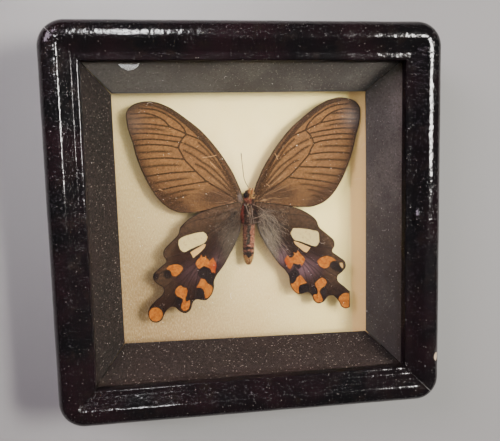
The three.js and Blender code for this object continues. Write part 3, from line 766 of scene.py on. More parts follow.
def hindwing_material():
    """Dark brown and purple-black scales with white, cream and orange patches."""
    paint = Paint("hindwing scales")
    mottle = paint.noise(1.4, 5, 0.8)
    grain = paint.noise(0.5, 4, 0.8)
    marked = hindwing_marks(paint, hindwing_ground(paint, mottle), mottle)
    rim = paint.plus(paint.value("edge"), paint.times(grain, 0.5))
    rimmed = paint.mix(paint.span(rim, 0.85, 0.4), marked, (0.006, 0.003, 0.002))
    paint.set(Base_Color=paint.mix(paint.span(grain, 0.52, 0.72, 0, 0.14), rimmed, (0.085, 0.045, 0.022)))
    paint.set(Roughness=0.58)
    paint.set(Specular_IOR_Level=0.06)
    paint.set(Normal=paint.bump(grain, 0.6, 0.1))
    return paint.material


def coat_material(name, rough):
    """Hair and horn whose main colour is worked out for each vertex."""
    paint = Paint(name)
    grain = paint.span(paint.noise(0.3, 4, 0.75), 0.3, 0.75, 0.55, 1.35)
    node = paint.nodes.new("ShaderNodeVectorMath")
    node.operation = "SCALE"
    paint.links.new(paint.colour("coat"), node.inputs[0])
    paint.links.new(grain, node.inputs["Scale"])
    paint.set(Base_Color=node.outputs["Vector"])
    paint.set(Roughness=rough)
    paint.set(Specular_IOR_Level=0.08)
    paint.set(Normal=paint.bump(paint.noise(0.22, 3), 0.6, 0.08))
    return paint.material


# Frame moulding
def square(half):
    return [(-half, half), (half, half), (half, -half), (-half, -half)]


def rail_section():
    """Section of the moulding as (four corners, height), from the back of the rebate round the outside."""
    def at(half, z):
        return square(half), z

    def lip(inset, z):
        corners = [(x + math.copysign(inset, x), y + math.copysign(inset, y)) for x, y in LIP_CORNERS]
        return corners, z

    section = [at(half, z) for half, z in FOOT]
    section += [at(OUTER_HALF, z) for z in np.linspace(1, WIDEST_HEIGHT - 1, 18)]
    for angle in np.linspace(0, math.pi / 2, 26):
        out = abs(math.cos(angle)) ** (2 / SHOULDER_POWER)
        up = math.sin(angle) ** (2 / SHOULDER_POWER)
        half = CREST_HALF + (OUTER_HALF - CREST_HALF) * out
        section.append(at(half, WIDEST_HEIGHT + (CREST_HEIGHT - WIDEST_HEIGHT) * up))
    cove = list(zip(*np.linspace(COVE_TOP, COVE_FOOT, 14).T))
    section += [at(half, z) for half, z in CREST_INNER + cove + LIP_BACK]
    section += [lip(inset, LIP_HEIGHT - drop) for inset, drop in LIP_ROUNDING]
    section += [lip(0, z) for z in LIP_INNER_HEIGHTS]
    section += [at(REBATE_HALF, z) for z in (GLASS_TOP + SEAT_GAP, 24, 10)]
    return section


def rail_strand(corners, z, side):
    """The route of one section point along one rail, from mitre to mitre."""
    x0, y0 = corners[side]
    x1, y1 = corners[(side + 1) % 4]
    along = np.array([x1 - x0, y1 - y0], float)
    along /= np.linalg.norm(along)
    out = np.array([-along[1], along[0]])
    start, finish = np.array([x0, y0]), np.array([x1, y1])
    radius = abs(corners[0][1]) - ARC_MIDDLE
    steps = np.linspace(0, 1, ARC_STEPS, endpoint=False)
    setback = MITRE_GAP / math.sqrt(2)
    if radius <= 0:
        block = (-radius * 0.8 + 0.3) * steps + setback
        head = [start + along * b for b in block]
        tail = [finish - along * b for b in block]
        inner = (-radius * 0.8 + 0.3) + setback
        ends = start + along * inner, finish - along * inner
    else:
        turns = math.pi / 4 * (1 - steps)
        reach = ARC_MIDDLE + radius * np.sin(turns)
        reach[0] -= setback
        height = ARC_MIDDLE + radius * np.cos(turns)
        head = [-along * r + out * h for r, h in zip(reach, height)]
        tail = [along * r + out * h for r, h in zip(reach, height)]
        edge = out * (ARC_MIDDLE + radius)
        ends = -along * ARC_MIDDLE + edge, along * ARC_MIDDLE + edge
    middle = [ends[0] + (ends[1] - ends[0]) * t for t in np.linspace(0, 1, STRAIGHT_STEPS)]
    route = head + middle + tail[::-1]
    return np.column_stack([np.array(route), np.full(len(route), z)])


def blister_height(points):
    x, y, _ = (points - np.array(BLISTER["centre"])).T
    squared = (x / BLISTER["reach"][0]) ** 2 + (y / BLISTER["reach"][1]) ** 2
    return np.where(points[:, 2] > LIP_HEIGHT - 0.5, BLISTER["height"] * np.exp(-(squared**1.6)), 0)


def bareness(points):
    """From 0 on sound lacquer up to 1 in the chip, with a ragged edge."""
    reach = np.linalg.norm(points - np.array(CHIP["centre"]), axis=1) / CHIP["radius"]
    return np.clip(1.25 - (reach + 0.22 * noise_at(points, 0.9, 3)), 0, 1)


def lacquer_lift(points, bare):
    """How far the lacquer stands off the moulding: sags and ripples, the blister and the chip."""
    shown = np.clip((points[:, 2] - 2) / 6, 0, 1) * (np.abs(points[:, :2]).max(axis=1) > 65)
    sag = -LACQUER_SAG * (0.55 + 0.45 * noise_at(points, 14, 1)) - 0.035 * (1 + noise_at(points, 3.6, 2))
    return sag * shown + blister_height(points) - CHIP["depth"] * bare


def rail_faces(rings, stations):
    """Faces of a mitred bar whose section points run in closed rings, with its two ends."""
    faces = []
    for i in range(rings):
        j = (i + 1) % rings
        for k in range(stations - 1):
            faces.append((i * stations + k, j * stations + k, j * stations + k + 1, i * stations + k + 1))
    faces.append([i * stations for i in range(rings - 1, -1, -1)])
    faces.append([i * stations + stations - 1 for i in range(rings)])
    return faces


def make_rail(side, material):
    strands = np.array([rail_strand(corners, z, side) for corners, z in rail_section()])
    vertices = strands.reshape(-1, 3)
    piece = make_mesh("lacquered_rail_" + EDGES[side], vertices, rail_faces(*strands.shape[:2]))
    normals = np.zeros(len(vertices) * 3)
    piece.data.vertex_normals.foreach_get("vector", normals)
    bare = bareness(vertices)
    moved = vertices + normals.reshape(-1, 3) * lacquer_lift(vertices, bare)[:, None]
    piece.data.vertices.foreach_set("co", (moved * MM).ravel())
    piece.data.update()
    piece.data.set_sharp_from_angle(angle=math.radians(50))
    set_values(piece, "bare", bare)
    inner = (np.abs(vertices[:, :2]).max(axis=1) < LIP_EDGE) & (vertices[:, 2] < LIP_HEIGHT - 0.8)
    set_values(piece, "inner", inner)
    return dress(piece, material, "lacquer", "rail_" + EDGES[side])


# Inside of the frame
def card_row(y):
    """Points of the card's upper face at one height of the picture, and how far each is past the fold."""
    columns = np.concatenate([np.linspace(-CARD_HALF, BEND_FROM, 60),
                              np.linspace(BEND_FROM + 0.6, BEND_FROM + BEND_SPAN, 46)])
    fold = FOLD_TOP_X + (FOLD_BOTTOM_X - FOLD_TOP_X) * (CARD_HALF - y) / (2 * CARD_HALF)
    row, past_fold = [], []
    for column in columns:
        x = column
        if column >= BEND_FROM:
            x = BEND_FROM + (column - BEND_FROM) / BEND_SPAN * (fold + FLAP_RUN - BEND_FROM)
        over = x - fold
        rise = FLAP_SLOPE * (over + math.sqrt(over * over + FOLD_SOFTNESS**2)) / 2
        swell = 0.07 * noise.noise(Vector((x, y, 3)) / 22)
        row.append((x, y, CARD_TOP + rise + min(swell, 0)))
        past_fold.append(over)
    return row, past_fold


def make_card(material):
    """The cream card with one side folded up, as a closed sheet."""
    card_rows = [card_row(y) for y in np.linspace(-CARD_HALF, CARD_HALF, 70)]
    top = [point for row, _ in card_rows for point in row]
    flaps = [over for _, past_fold in card_rows for over in past_fold]
    rows, columns, count = len(card_rows), len(card_rows[0][0]), len(top)
    under = [(x, y, z - (CARD_TOP - CARD_UNDER)) for x, y, z in top]
    faces = []
    for j in range(rows - 1):
        for i in range(columns - 1):
            a = j * columns + i
            faces.append((a, a + 1, a + 1 + columns, a + columns))
            faces.append(tuple(count + n for n in (a + columns, a + 1 + columns, a + 1, a)))
    rim = list(range(columns))
    rim += [j * columns + columns - 1 for j in range(1, rows)]
    rim += [(rows - 1) * columns + i for i in range(columns - 2, -1, -1)]
    rim += [j * columns for j in range(rows - 2, 0, -1)]
    for a, b in zip(rim, rim[1:] + rim[:1]):
        faces.append((b, a, a + count, b + count))
    piece = make_mesh("cream_card", top + under, faces)
    set_values(piece, "flap", flaps + flaps)
    return dress(piece, material, "card", "backing_card")


def dust_flake(x, y, size):
    """A low five-sided pyramid on the glass."""
    turn = RNG.uniform(0, TURN)
    bottom = GLASS_TOP + 0.015
    corners = []
    for k in range(5):
        angle = turn + TURN * k / 5
        reach = size * RNG.uniform(0.6, 1.2)
        corners.append((x + reach * math.cos(angle), y + reach * math.sin(angle) * 0.7, bottom))
    faces = [(k, (k + 1) % 5, 5) for k in range(5)] + [(4, 3, 2, 1, 0)]
    return corners + [(x, y, bottom + size * 0.4)], faces


def dust_fibre(x, y):
    """A curled fibre on the glass."""
    turn = RNG.uniform(0, TURN)
    bend = RNG.uniform(-0.8, 0.8)
    route = []
    for s in np.linspace(0, RNG.uniform(1, 3), 8):
        angle = turn + bend * s
        route.append((x + s * math.cos(angle), y + s * math.sin(angle), GLASS_TOP + 0.05))
    return tube(route, [0.022] * 8, 4)


def make_dust(material):
    """Small closed flakes and curled fibres lying on the glass."""
    parts = []
    for _ in range(FLAKE_COUNT):
        size = min(0.22, RNG.gamma(1.5, 0.026) + 0.03)
        parts.append(dust_flake(*RNG.uniform(-64, 64, 2), size))
    for _ in range(FIBRE_COUNT):
        parts.append(dust_fibre(*RNG.uniform(-60, 60, 2)))
    vertices, faces = join_parts(parts)
    piece = make_mesh("glass_dust", vertices, faces, smooth=False)
    return dress(piece, material, "glass")


# Wings
def place_on_card(wing, points):
    """Outline coordinates to the card plane: out from the midline, swung and lifted."""
    points = np.asarray(points, float)
    angle = math.radians(wing["swing"])
    du = points[:, 0] - SWING_CENTRE[0]
    dv = points[:, 1] - SWING_CENTRE[1]
    u = SWING_CENTRE[0] + du * math.cos(angle) - dv * math.sin(angle)
    v = SWING_CENTRE[1] + du * math.sin(angle) + dv * math.cos(angle)
    return np.column_stack([MIDLINE_X + wing["side"] * u, v + wing["lift"]])


def wing_height(wing, points):
    """Middle height of a wing: it rises from the root and bows between root and edge."""
    out = np.abs(points[:, 0] - MIDLINE_X)
    spread = 1 - np.exp(-out / 14)
    bow = np.sin(math.pi * np.minimum(out, 52) / 52)
    rise = FOREWING_HEIGHT + CAD_WING_THICKNESS / 2 + WING_RISE * spread + 0.5 * bow
    if wing["hind"]:
        return rise + HINDWING_STEP + 0.012 * np.maximum(0, -points[:, 1])
    return rise + 0.006 * np.maximum(0, points[:, 1])


def wing_ring(name, wing):
    """The wing's outline on the card plane, with its tears and its cut tail."""
    outline = HINDWING if wing["hind"] else FOREWING
    ring = resample(spline(place_on_card(wing, outline), 12, closed=True), EDGE_STEP, closed=True)
    wobble = noise_at(np.column_stack([ring, np.zeros(len(ring))]), 2.4, 5)
    fine = noise_at(np.column_stack([ring, np.zeros(len(ring))]), 0.8, 6)
    ring = ring + np.column_stack([wobble * 0.1 + fine * 0.05, fine * 0.05 - wobble * 0.08])
    if name == "forewing_right":
        for tear in TEARS:
            corners = place_on_card(wing, tear)
            within = inside(ring, corners)
            if within.any():
                places = np.flatnonzero(within)
                ring[places] = corners[0]
                ring = np.delete(ring, places[1:], axis=0)
    if name == "hindwing_right":
        past = (ring[:, 0] > TAIL_CUT_X) & (ring[:, 1] < -29)
        ring[past, 0] = TAIL_CUT_X
    keep = np.linalg.norm(ring - np.roll(ring, 1, axis=0), axis=1) > 0.05
    return ring[keep]


def wing_points(ring, veins):
    """Points inside the outline: an even grid, with rows of points along the veins and the marks."""
    low, high = ring.min(axis=0), ring.max(axis=0)
    rows = []
    for j, y in enumerate(np.arange(low[1], high[1], GRID_STEP * 0.87)):
        xs = np.arange(low[0] + (j % 2) * GRID_STEP / 2, high[0], GRID_STEP)
        rows.append(np.column_stack([xs, np.full(len(xs), y)]))
    grid = np.vstack(rows)
    near = np.full(len(grid), 1e9)
    extra = []
    for vein in veins:
        line = resample(vein, 0.4)
        near = np.minimum(near, distance_to_line(grid, line)[0])
        along = np.gradient(line, axis=0)
        along /= np.linalg.norm(along, axis=1)[:, None]
        across = np.column_stack([-along[:, 1], along[:, 0]])
        extra += [line, line + across * 0.2, line - across * 0.2]
    grid = grid[near > 0.36]
    points = np.vstack([grid] + extra)
    return points[signed_distance(points, ring) > EDGE_STEP * 0.6]


def triangulate(ring, points):
    """Triangles over the inside of the ring that use its points and the ones inside."""
    vertices = [Vector(p) for p in np.vstack([ring, points])]
    face = [list(range(len(ring)))]
    made = geometry.delaunay_2d_cdt(vertices, [], face, 1, 1e-5, False)
    flat = np.array([tuple(v) for v in made[0]])
    triangles = np.array([tuple(f) for f in made[2]])
    return flat, triangles[inside(flat[triangles].mean(axis=1), ring)]


def sheet_solid(name, flat, triangles, height, thickness):
    """A thin closed sheet over the flat triangles, with its middle at the given heights."""
    count = len(flat)
    top = np.column_stack([flat, height + thickness / 2])
    under = np.column_stack([flat, height - thickness / 2])
    faces = []
    directed = {}
    for a, b, c in triangles:
        if np.cross(flat[b] - flat[a], flat[c] - flat[a]) < 0:
            b, c = c, b
        faces.append((a, b, c))
        faces.append((c + count, b + count, a + count))
        for edge in ((a, b), (b, c), (c, a)):
            directed[edge] = True
    for a, b in directed:
        if (b, a) not in directed:
            faces.append((b, a, a + count, b + count))
    return make_mesh(name, np.vstack([top, under]), faces)


def nearest_line(points, lines):
    best = np.full(len(points), 1e9)
    for line in lines:
        best = np.minimum(best, distance_to_line(points, line)[0])
    return best


def stripe_strength(points, lines, width, faint_at, full_at):
    """How dark a stripe is at each point: it fades in along its length."""
    strength = np.zeros(len(points))
    for line in lines:
        d, place = distance_to_line(points, line)
        fade = np.clip((place - faint_at) / (full_at - faint_at), 0, 1)
        strength = np.maximum(strength, fade * np.exp(-((d / width) ** 2)))
    return strength


def wing_curves(wing, lists):
    return [spline(place_on_card(wing, line), 8) for line in lists]


def soft_spot(out, up, middle, reach):
    """A round patch: 1 at its middle, fading over its reach outwards and upwards."""
    return np.exp(-(np.hypot((out - middle[0]) / reach[0], (up - middle[1]) / reach[1]) ** 2))


def set_on_both_faces(piece, **values):
    """Gives a sheet values that are the same on its upper and its lower face."""
    for name, numbers in values.items():
        set_values(piece, name, np.tile(numbers, 2))


def forewing_shade(out, up, reach, outer):
    """How dark the scales are: a patch near the body, the outer corner, the rim, and the lower half."""
    patch = soft_spot(out, up, (13.5, 10), (9, 3)) * 0.85
    corner = soft_spot(out, up, (37, 9), (6, 4)) * 0.6
    rim = np.exp(-((outer / 3.2) ** 1.5)) * 0.85
    broad = np.exp(-((outer / 10) ** 2)) * 0.2 + np.exp(-((reach / 17) ** 2)) * 0.55
    low = np.clip((24 - up) / 20, 0, 1) * 0.28
    return np.clip(patch + corner + rim + broad + low, 0, 1)


def pale_fibres(out, up, reach, strength):
    """Pale streaks that run out from the wing's root."""
    turn = np.arctan2(up - 7, out - 3)
    fibres = noise_at(np.column_stack([turn * 9, reach * 0.03, out * 0]), 0.35, 21)
    return np.clip(fibres * 2.2 - 0.35, 0, 1) * np.exp(-((reach / 16) ** 2)) * strength


def paint_forewing(piece, name, wing, flat, vein_distance, edge):
    left = wing["side"] < 0
    out = (flat[:, 0] - MIDLINE_X) * wing["side"]
    up = flat[:, 1] - wing["lift"]
    reach = np.hypot(out - 3, up - 7)
    stripes = stripe_strength(flat, wing_curves(wing, FORE_STRIPES), 0.5, 0, 0.3)
    cell = stripe_strength(flat, wing_curves(wing, CELL_STRIPES), 0.48, -0.9, 0)
    front = distance_to_line(flat, spline(place_on_card(wing, FOREWING[:11]), 8))[0]
    outer = distance_to_line(flat, spline(place_on_card(wing, FOREWING[10:21]), 8))[0]
    apex = soft_spot(out, up, (50, 44), (5, 5)) * (0.1 if left else 0.4)
    root = soft_spot(out, up, (3.7, 9.5), (0.8, 1.7)) * (0.4 if left else 0)
    scratches = [spline(place_on_card(wing, line), 6) for line in SCRATCHES[name]]
    set_on_both_faces(
        piece,
        vein=vein_distance,
        stripe=np.clip(np.maximum(stripes, cell) * 1.1, 0, 0.95),
        shade=forewing_shade(out, up, reach, outer),
        streak=pale_fibres(out, up, reach, 0.35 if left else 0.7),
        bloom=np.clip(apex + root, 0, 1),
        costa=np.clip(np.exp(-((front / (1.1 + 0.035 * up)) ** 3)) * 0.85, 0, 1),
        edge=edge,
        scratch=nearest_line(flat, scratches),
    )


def marks_distance(flat, rings):
    """Distance to the nearest of several closed marks, positive inside."""
    best = np.full(len(flat), -9.0)
    for ring in rings:
        best = np.maximum(best, signed_distance(flat, np.asarray(ring, float)))
    return best


def mark_outlines(name):
    """The outlines of the pale and orange marks as closed lines."""
    outlines = []
    for kind in ("white", "cream", "orange"):
        for ring in HIND_MARKS[name][kind]:
            outlines.append(np.array(ring + ring[:1], float))
    return outlines


def paint_hindwing(piece, name, wing, flat, vein_distance, edge):
    marks = HIND_MARKS[name]
    left = wing["side"] < 0
    out = (flat[:, 0] - MIDLINE_X) * wing["side"]
    up = flat[:, 1] - wing["lift"]
    discs = np.full(len(flat), -9.0)
    for x, y, radius in marks["discs"]:
        discs = np.maximum(discs, radius - np.hypot(flat[:, 0] - x, flat[:, 1] - y))
    line_cut = np.where(discs > 0, 0.55 * np.exp(-((vein_distance / 0.16) ** 2)), 0)
    front = np.clip((up + 12 + 0.25 * (out - 20)) / 14, 0, 1)
    outer_brown = np.clip((out - 33) / 6, 0, 1) * np.clip((up + 36) / 8, 0, 1)
    along_body = np.clip((out - 2) / 3, 0, 1) * np.clip((17 - out + 0.15 * up) / 6, 0, 1)
    greyness = along_body * (0.25 if left else 0.8)
    # Where the painted violet sheen lies; it is weaker on the left wing.
    painted_sheen_spots = np.maximum(soft_spot(out, up, (25.5, -24), (6.5, 4.5)), soft_spot(out, up, (15, -18), (2.5, 4)))
    set_on_both_faces(
        piece,
        vein=vein_distance,
        edge=edge,
        purple=np.clip(1 - front - 0.8 * outer_brown, 0, 1),
        orange=np.maximum(marks_distance(flat, marks["orange"]), discs) - line_cut,
        cream=marks_distance(flat, marks["cream"]),
        white=marks_distance(flat, marks["white"]),
        black=marks_distance(flat, marks["black"]),
        grey=greyness * np.clip((-2 - up) / 6, 0, 1),
        sheen=painted_sheen_spots * (0.35 if left else 1),
        red=soft_spot(out, up, (16.2, -22), (2.4, 3.4)),
    )


def make_wing(name, material):
    wing = WINGS[name]
    ring = wing_ring(name, wing)
    veins = wing_curves(wing, HIND_VEINS if wing["hind"] else FORE_VEINS)
    drawn = veins + mark_outlines(name) if wing["hind"] else veins
    flat, triangles = triangulate(ring, wing_points(ring, drawn))
    vein_distance = nearest_line(flat, veins)
    edge = np.abs(signed_distance(flat, ring))
    spots = np.column_stack([flat, np.zeros(len(flat))])
    height = wing_height(wing, flat)
    height += 0.11 * np.exp(-((vein_distance / 0.2) ** 2))
    height += 0.07 * (1 - np.exp(-((vein_distance / 1.1) ** 2)))
    height += 0.1 * noise_at(spots, 9, 8) + 0.02 * noise_at(spots, 1.4, 9)
    piece = sheet_solid(name + "_scaled", flat, triangles, height, WING_THICKNESS)
    painter = paint_hindwing if wing["hind"] else paint_forewing
    painter(piece, name, wing, flat, vein_distance, edge)
    return dress(piece, material, "hindwing" if wing["hind"] else "forewing", name)


# Body
def lay_body(points):
    """From the body's own coordinates to its place on the card."""
    x, y, z = np.asarray(points, float).T
    c, s = math.cos(BODY_TILT), math.sin(BODY_TILT)
    return np.column_stack([x * c - y * s + BODY_X, x * s + y * c, z + BODY_HEIGHT])


SALMON = np.array((0.19, 0.07, 0.04))
RED = np.array((0.125, 0.026, 0.014))
ORANGE = np.array((0.25, 0.105, 0.035))
TAN = np.array((0.17, 0.105, 0.06))
RUST = np.array((0.1, 0.042, 0.024))
BLACK = np.array((0.006, 0.004, 0.0035))
BROWN = np.array((0.022, 0.012, 0.0075))
MOSS = np.array((0.03, 0.025, 0.017))
GREY = np.array((0.06, 0.05, 0.042))
LEG_TONE = np.array((0.13, 0.094, 0.066))
HAZE_TONE = np.array((0.085, 0.067, 0.049))


def blend_colours(base, colour, amount):
    return base * (1 - amount[:, None]) + colour * amount[:, None]


def fade(value, softness):
    """From 0 up to 1 as the value goes from 0 to the softness."""
    return np.clip(value / softness, 0, 1)


def abdomen_colours(colours, points, patches):
    """Moss brown with rust and salmon sides, and dark and salmon rings towards the tip."""
    x, y, _ = points.T
    abdomen = fade(-3 - y + 0.6 * patches, 1)
    colours = blend_colours(colours, MOSS, abdomen)
    colours = blend_colours(colours, RUST, abdomen * fade(-x - 0.95 + 0.5 * patches, 0.5))
    colours = blend_colours(colours, SALMON, abdomen * fade(x - 0.25 + 0.6 * patches, 0.5))
    rings = np.cos((y + 15.2 + 0.25 * np.abs(x)) * 2 * math.pi / 2.3)
    low = fade(-11.8 - y, 1) * fade(y + 18, 0.6)
    colours = blend_colours(colours, BLACK * 2, low * fade(0.15 - rings - 0.5 * patches, 0.5) * 0.9)
    return blend_colours(colours, SALMON * 1.15, low * fade(rings - 0.35 + 0.3 * x + patches, 0.4))


def tip_colours(colours, points):
    """Orange, with a dark mark like a V before it and a dark spot near its end."""
    x, y, _ = points.T
    dark_v = fade(1.3 - np.abs(y + 17.9 - 0.85 * np.abs(x)), 0.5) * fade(1.6 - np.abs(x), 0.5)
    colours = blend_colours(colours, ORANGE, fade(-17.2 - y - 0.1 * np.abs(x), 0.5))
    colours = blend_colours(colours, BLACK * 1.5, dark_v * fade(-16.4 - y, 0.5))
    return blend_colours(colours, BROWN, np.exp(-(((y + 21.4) / 0.9) ** 2 + (x / 0.6) ** 2)) * 0.8)


def breast_and_head_colours(colours, points, patches, fine):
    """A red left flank, a dark breast, a red collar, and a head that is black on the left and orange."""
    x, y, _ = points.T
    thorax = fade(y + 3.4, 0.8) * fade(6.2 - y, 0.8)
    colours = blend_colours(colours, RED * 0.75, thorax * fade(-x - 2.35 + 0.3 * fine, 0.4))
    colours = blend_colours(colours, BLACK, thorax * fade(x + 2.5, 0.3) * fade(-0.1 - patches, 0.4) * 0.8)
    collar = np.exp(-(((y - 7.6 + 0.2 * x) / 0.8) ** 2)) * fade(0.9 - x, 0.5)
    colours = blend_colours(colours, RED * 1.5 + SALMON * 0.3, np.clip(collar * (1.1 + patches), 0, 1))
    head = fade(y - 7.9, 0.6)
    colours = blend_colours(colours, BLACK, head * fade(-0.75 - x, 0.4) * fade(10.4 - y, 0.6))
    return blend_colours(colours, ORANGE * 0.9, head * fade(x + 0.5 + 0.5 * patches, 0.5))


def body_colours(points):
    """Colours of the body in its own coordinates."""
    x, y, _ = points.T
    patches = noise_at(points, 1.5, 11)
    fine = noise_at(points, 0.6, 12)
    colours = np.tile(BROWN, (len(points), 1))
    flecks = fade(fine - 0.12, 0.2) * fade(1.3 - np.abs(x + 0.2) + 0.5 * patches, 0.8)
    colours = blend_colours(colours, TAN * 0.8, flecks * 0.8)
    colours = abdomen_colours(colours, points, patches)
    colours = tip_colours(colours, points)
    colours = breast_and_head_colours(colours, points, patches, fine)
    spots = noise_at(points, 0.42, 22)
    abdomen = fade(-3 - y + 0.6 * patches, 1)
    colours = blend_colours(colours, BLACK * 2, abdomen * fade(spots - 0.12, 0.25) * 0.75)
    return np.clip(colours * (1.5 + 1.4 * fine[:, None]), 0.002, 1)


def trunk_parts():
    profile = resample(spline([(r, y) for y, r in BODY_PROFILE[1:-1]], 6), 0.22)
    vertices = []
    for radius, y in profile:
        for k in range(BODY_SIDES):
            angle = TURN * k / BODY_SIDES
            vertices.append((radius * math.cos(angle), y, BODY_FLATTEN * radius * math.sin(angle)))
    vertices = np.array(vertices)
    rough = 1 - 0.09 * (1 + noise_at(vertices, 1.2, 13)) - 0.06 * (1 + noise_at(vertices, 0.5, 14))
    vertices[:, 0] *= rough
    vertices[:, 2] *= rough
    faces = [(a, d, c, b) for a, b, c, d in ring_faces(len(profile), BODY_SIDES)]
    last = (len(profile) - 1) * BODY_SIDES
    faces.append(tuple(range(BODY_SIDES)))
    faces.append(tuple(last + k for k in range(BODY_SIDES - 1, -1, -1)))
    return vertices, faces


def hair(root, tip, width):
    """One tapering hair with three sides."""
    root, tip = np.asarray(root), np.asarray(tip)
    along = tip - root
    across = np.cross(along, (0.2, 0.3, 0.9))
    across *= width / max(np.linalg.norm(across), 1e-6)
    up = np.cross(across, along)
    up *= width / max(np.linalg.norm(up), 1e-6)
    vertices = [root + across, root - 0.5 * across + 0.86 * up, root - 0.5 * across - 0.86 * up, tip]
    return vertices, [(0, 1, 3), (1, 2, 3), (2, 0, 3), (2, 1, 0)]


def trunk_radius(y):
    places = [p for p, _ in BODY_PROFILE]
    return np.interp(y, places, [r for _, r in BODY_PROFILE])


def hair_parts():
    """Short hairs all over the body, longer on the breast and head, lying back towards the tip."""
    parts, colours = [], []
    for _ in range(HAIR_COUNT):
        y = RNG.uniform(-22, 12)
        angle = RNG.uniform(-0.25, math.pi + 0.25)
        radius = trunk_radius(y) * 0.95
        outward = np.array((math.cos(angle), 0, BODY_FLATTEN * math.sin(angle)))
        root = np.array((0, y, 0)) + outward * radius
        breast = math.exp(-(((y - 2) / 4.5) ** 2)) + 0.6 * math.exp(-(((y - 9) / 2.5) ** 2))
        length = RNG.uniform(0.4, 0.9) * (0.7 + 1.3 * breast)
        lean = np.array((RNG.normal(0, 0.35), -1 if y < 7 else 0.7, RNG.normal(0, 0.2)))
        way = outward * RNG.uniform(0.15, 0.5 + 0.3 * breast) + lean * 0.8
        tip = root + way / np.linalg.norm(way) * length
        tip[2] = min(tip[2], 5.1)
        parts.append(hair(root, tip, RNG.uniform(0.04, 0.075)))
        pale = RNG.random() < 0.12
        colours.append((root, RNG.uniform(2.5, 4) if pale else RNG.uniform(0.4, 1.8)))
    return parts, colours


def limb_parts():
    """The palps, then the eyes."""
    limbs = []
    for route in PALPS:
        line = resample(spline(route, 8), 0.25)
        limbs.append(tube(line, 0.55 * np.sin(np.linspace(0.7, math.pi - 0.5, len(line))), 10))
    heights = np.linspace(-0.96, 0.96, 12)
    for x, y, z in EYES:
        route = [(x, y, z + EYE_RADIUS * h) for h in heights]
        limbs.append(tube(route, EYE_RADIUS * np.sqrt(1 - heights**2), 16))
    return limbs


def leg_parts():
    legs = []
    for route in LEGS:
        line = resample(spline(route, 10), 0.3)
        taper = np.linspace(1.15, 0.6, len(line)) * (1 + 0.12 * np.sin(np.linspace(0, 14, len(line))))
        legs.append(tube(line, LEG_RADIUS * taper, 8))
    return legs


def make_body(material):
    trunk, limbs, legs = trunk_parts(), limb_parts(), leg_parts()
    hairs, hair_roots = hair_parts()
    vertices, faces = join_parts([trunk] + limbs + legs + hairs)
    vertices = np.array([tuple(v) for v in vertices])
    colours = body_colours(vertices)
    start = len(trunk[0])
    for number, (points, _) in enumerate(limbs):
        colours[start:start + len(points)] = ORANGE if number < len(PALPS) else BLACK
        start += len(points)
    for points, _ in legs:
        grained = 1 + 0.5 * noise_at(np.array([tuple(p) for p in points]), 0.8, 15)
        colours[start:start + len(points)] = LEG_TONE * grained[:, None]
        start += len(points)
    roots = body_colours(np.array([root for root, _ in hair_roots]))
    shades = np.array([shade for _, shade in hair_roots])
    colours[start:] = np.repeat(np.clip(roots * shades[:, None], 0, 0.4), 4, axis=0)
    piece = make_mesh("hairy_body", lay_body(vertices), faces)
    set_colours(piece, "coat", colours)
    return dress(piece, material, "body", "body")


def make_antenna(material):
    line = resample(spline(ANTENNA_ROUTE, 16), 0.22)
    along = np.linspace(0, 1, len(line))
    radii = ANTENNA_RADIUS * (0.85 + 0.06 * np.cos(along * 240) + 0.35 * np.clip((along - 0.84) / 0.1, 0, 1))
    radii[-1] *= 0.4
    vertices, faces = tube(line, radii, 8)
    piece = make_mesh("thin_antenna", vertices, faces)
    tones = blend_colours(np.tile(BROWN, (len(vertices), 1)), GREY, np.repeat(along, 8) * 0.6)
    set_colours(piece, "coat", tones)
    return dress(piece, material, "antenna", "antenna")


def haze_hair(wing, root, angle, length, bend, thickness):
    """One fine hair over a hindwing, from its root, a little bent and lifted off the scales."""
    u, v = root
    half = 0.5 * length
    middle = (u + half * math.cos(angle), v + half * math.sin(angle))
    tip = (middle[0] + half * math.cos(angle + bend), middle[1] + half * math.sin(angle + bend))
    line = place_on_card(wing, [root, middle, tip])
    lift = np.array((0.12, RNG.uniform(0.25, 0.6), RNG.uniform(0.2, 0.5)))
    route = np.column_stack([line, wing_height(wing, line) + lift])
    return tube(spline(route, 2), thickness * np.array((1, 1, 0.9, 0.75, 0.35)), 3)


def make_haze(name, count, long_count, tone, material):
    """Greyish hairs from the body's side over the inner part of a hindwing, with a few long pale ones."""
    wing = WINGS[name]
    parts, colours = [], []
    while len(parts) < count:
        u = 3.5 + RNG.gamma(2.0, 2.8)
        v = RNG.uniform(-18, 5)
        if u > 17 + 0.1 * v or (v < -8 and u < 4.5 - 0.55 * (v + 8)):
            continue
        angle = -1.02 + RNG.normal(0, RNG.choice((0.35, 0.9))) + 0.02 * (v + 5)
        parts.append(haze_hair(wing, (u, v), angle, RNG.uniform(1.5, 5), RNG.normal(0, 0.5), 0.032))
        colours.append(tone * RNG.choice((0.3, 0.8, 1.8, 3.4)))
    for _ in range(long_count):
        root = (RNG.uniform(3, 13), RNG.uniform(-12, 4))
        angle = -0.95 + RNG.normal(0, 0.12)
        parts.append(haze_hair(wing, root, angle, RNG.uniform(8, 17), RNG.normal(0, 0.15), 0.03))
        colours.append(tone * RNG.uniform(2.5, 4.5))
    vertices, faces = join_parts(parts)
    piece = make_mesh("fringe_hair_" + name.split("_")[1], vertices, faces)
    set_colours(piece, "coat", np.clip(np.repeat(colours, len(parts[0][0]), axis=0), 0, 1))
    return dress(piece, material, "hindwing")


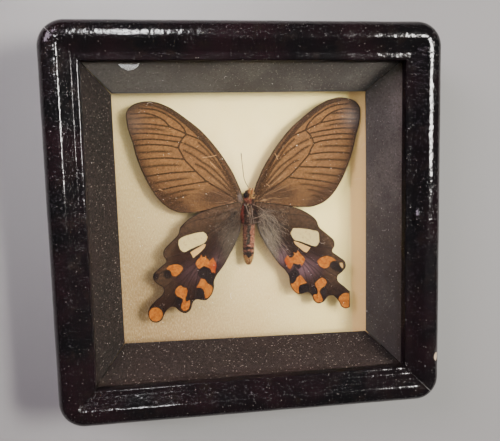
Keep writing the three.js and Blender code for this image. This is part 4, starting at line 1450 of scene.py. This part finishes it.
# Stage, light and camera
def make_floor():
    data = bpy.data.meshes.new("floor")
    corners = [(x * FLOOR_REACH, y * FLOOR_REACH, 0) for x, y in ((-1, -1), (1, -1), (1, 1), (-1, 1))]
    data.from_pydata(corners, [], [(0, 1, 2, 3)])
    floor = bpy.data.objects.new("floor", data)
    bpy.context.scene.collection.objects.link(floor)
    paint = Paint("pale floor")
    paint.set(Base_Color=(0.34, 0.335, 0.325))
    paint.set(Roughness=0.9)
    data.materials.append(paint.material)


def looking(place, aim, upwards):
    """The placing of a camera or lamp that looks at its aim, with that way upwards."""
    back = (Vector(place) - Vector(aim)).normalized()
    right = Vector(upwards).cross(back).normalized()
    turn = Matrix((right, back.cross(right), back)).transposed()
    return Matrix.Translation(place) @ turn.to_4x4()


def make_light(name, shape, place, aim, size, power, spread, colour):
    """A soft panel that faces its aim and lights what is within its spread."""
    data = bpy.data.lights.new(name, "AREA")
    data.shape = shape
    data.size, data.size_y = size
    data.energy = power
    data.color = colour
    data.spread = math.radians(spread)
    light = bpy.data.objects.new(name, data)
    light.matrix_world = looking(place, aim, (0, 1, 0))
    bpy.context.scene.collection.objects.link(light)


def make_lights():
    for light in LIGHTS:
        make_light(**light)
    world = bpy.data.worlds.new("soft room")
    world.use_nodes = True
    background = world.node_tree.nodes["Background"]
    background.inputs["Color"].default_value = ROOM_COLOUR
    background.inputs["Strength"].default_value = ROOM_STRENGTH
    bpy.context.scene.world = world


def make_camera():
    data = bpy.data.cameras.new("camera")
    data.sensor_width = SENSOR_WIDTH
    data.lens = FOCAL_PIXELS / PHOTO_WIDTH * SENSOR_WIDTH
    data.clip_start = 0.01
    camera = bpy.data.objects.new("camera", data)
    camera.matrix_world = looking(CAMERA_PLACE, CAMERA_AIM, CAMERA_UP)
    bpy.context.scene.collection.objects.link(camera)
    bpy.context.scene.camera = camera


def repaint(name, material):
    """Gives a piece of the part a better material."""
    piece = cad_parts[name]
    piece.data.materials.clear()
    piece.data.materials.append(material)
    return piece


def main():
    make_camera()
    make_lights()
    make_floor()
    lacquer = lacquer_material()
    for side in range(4):
        make_rail(side, lacquer)
    liner = liner_material()
    for edge in EDGES:
        repaint("liner_" + edge, liner)
    repaint("glass", glass_material()).visible_shadow = False
    repaint("backboard", board_material())
    make_card(card_material())
    make_dust(dust_material())
    fore, hind = forewing_material(), hindwing_material()
    for name, wing in WINGS.items():
        make_wing(name, hind if wing["hind"] else fore)
    hairy = coat_material("body hair", 0.7)
    make_body(hairy)
    make_antenna(coat_material("antenna horn", 0.5))
    make_haze("hindwing_left", 450, 5, HAZE_TONE * 0.4, hairy)
    make_haze("hindwing_right", 650, 24, HAZE_TONE * 0.9, hairy)


main()
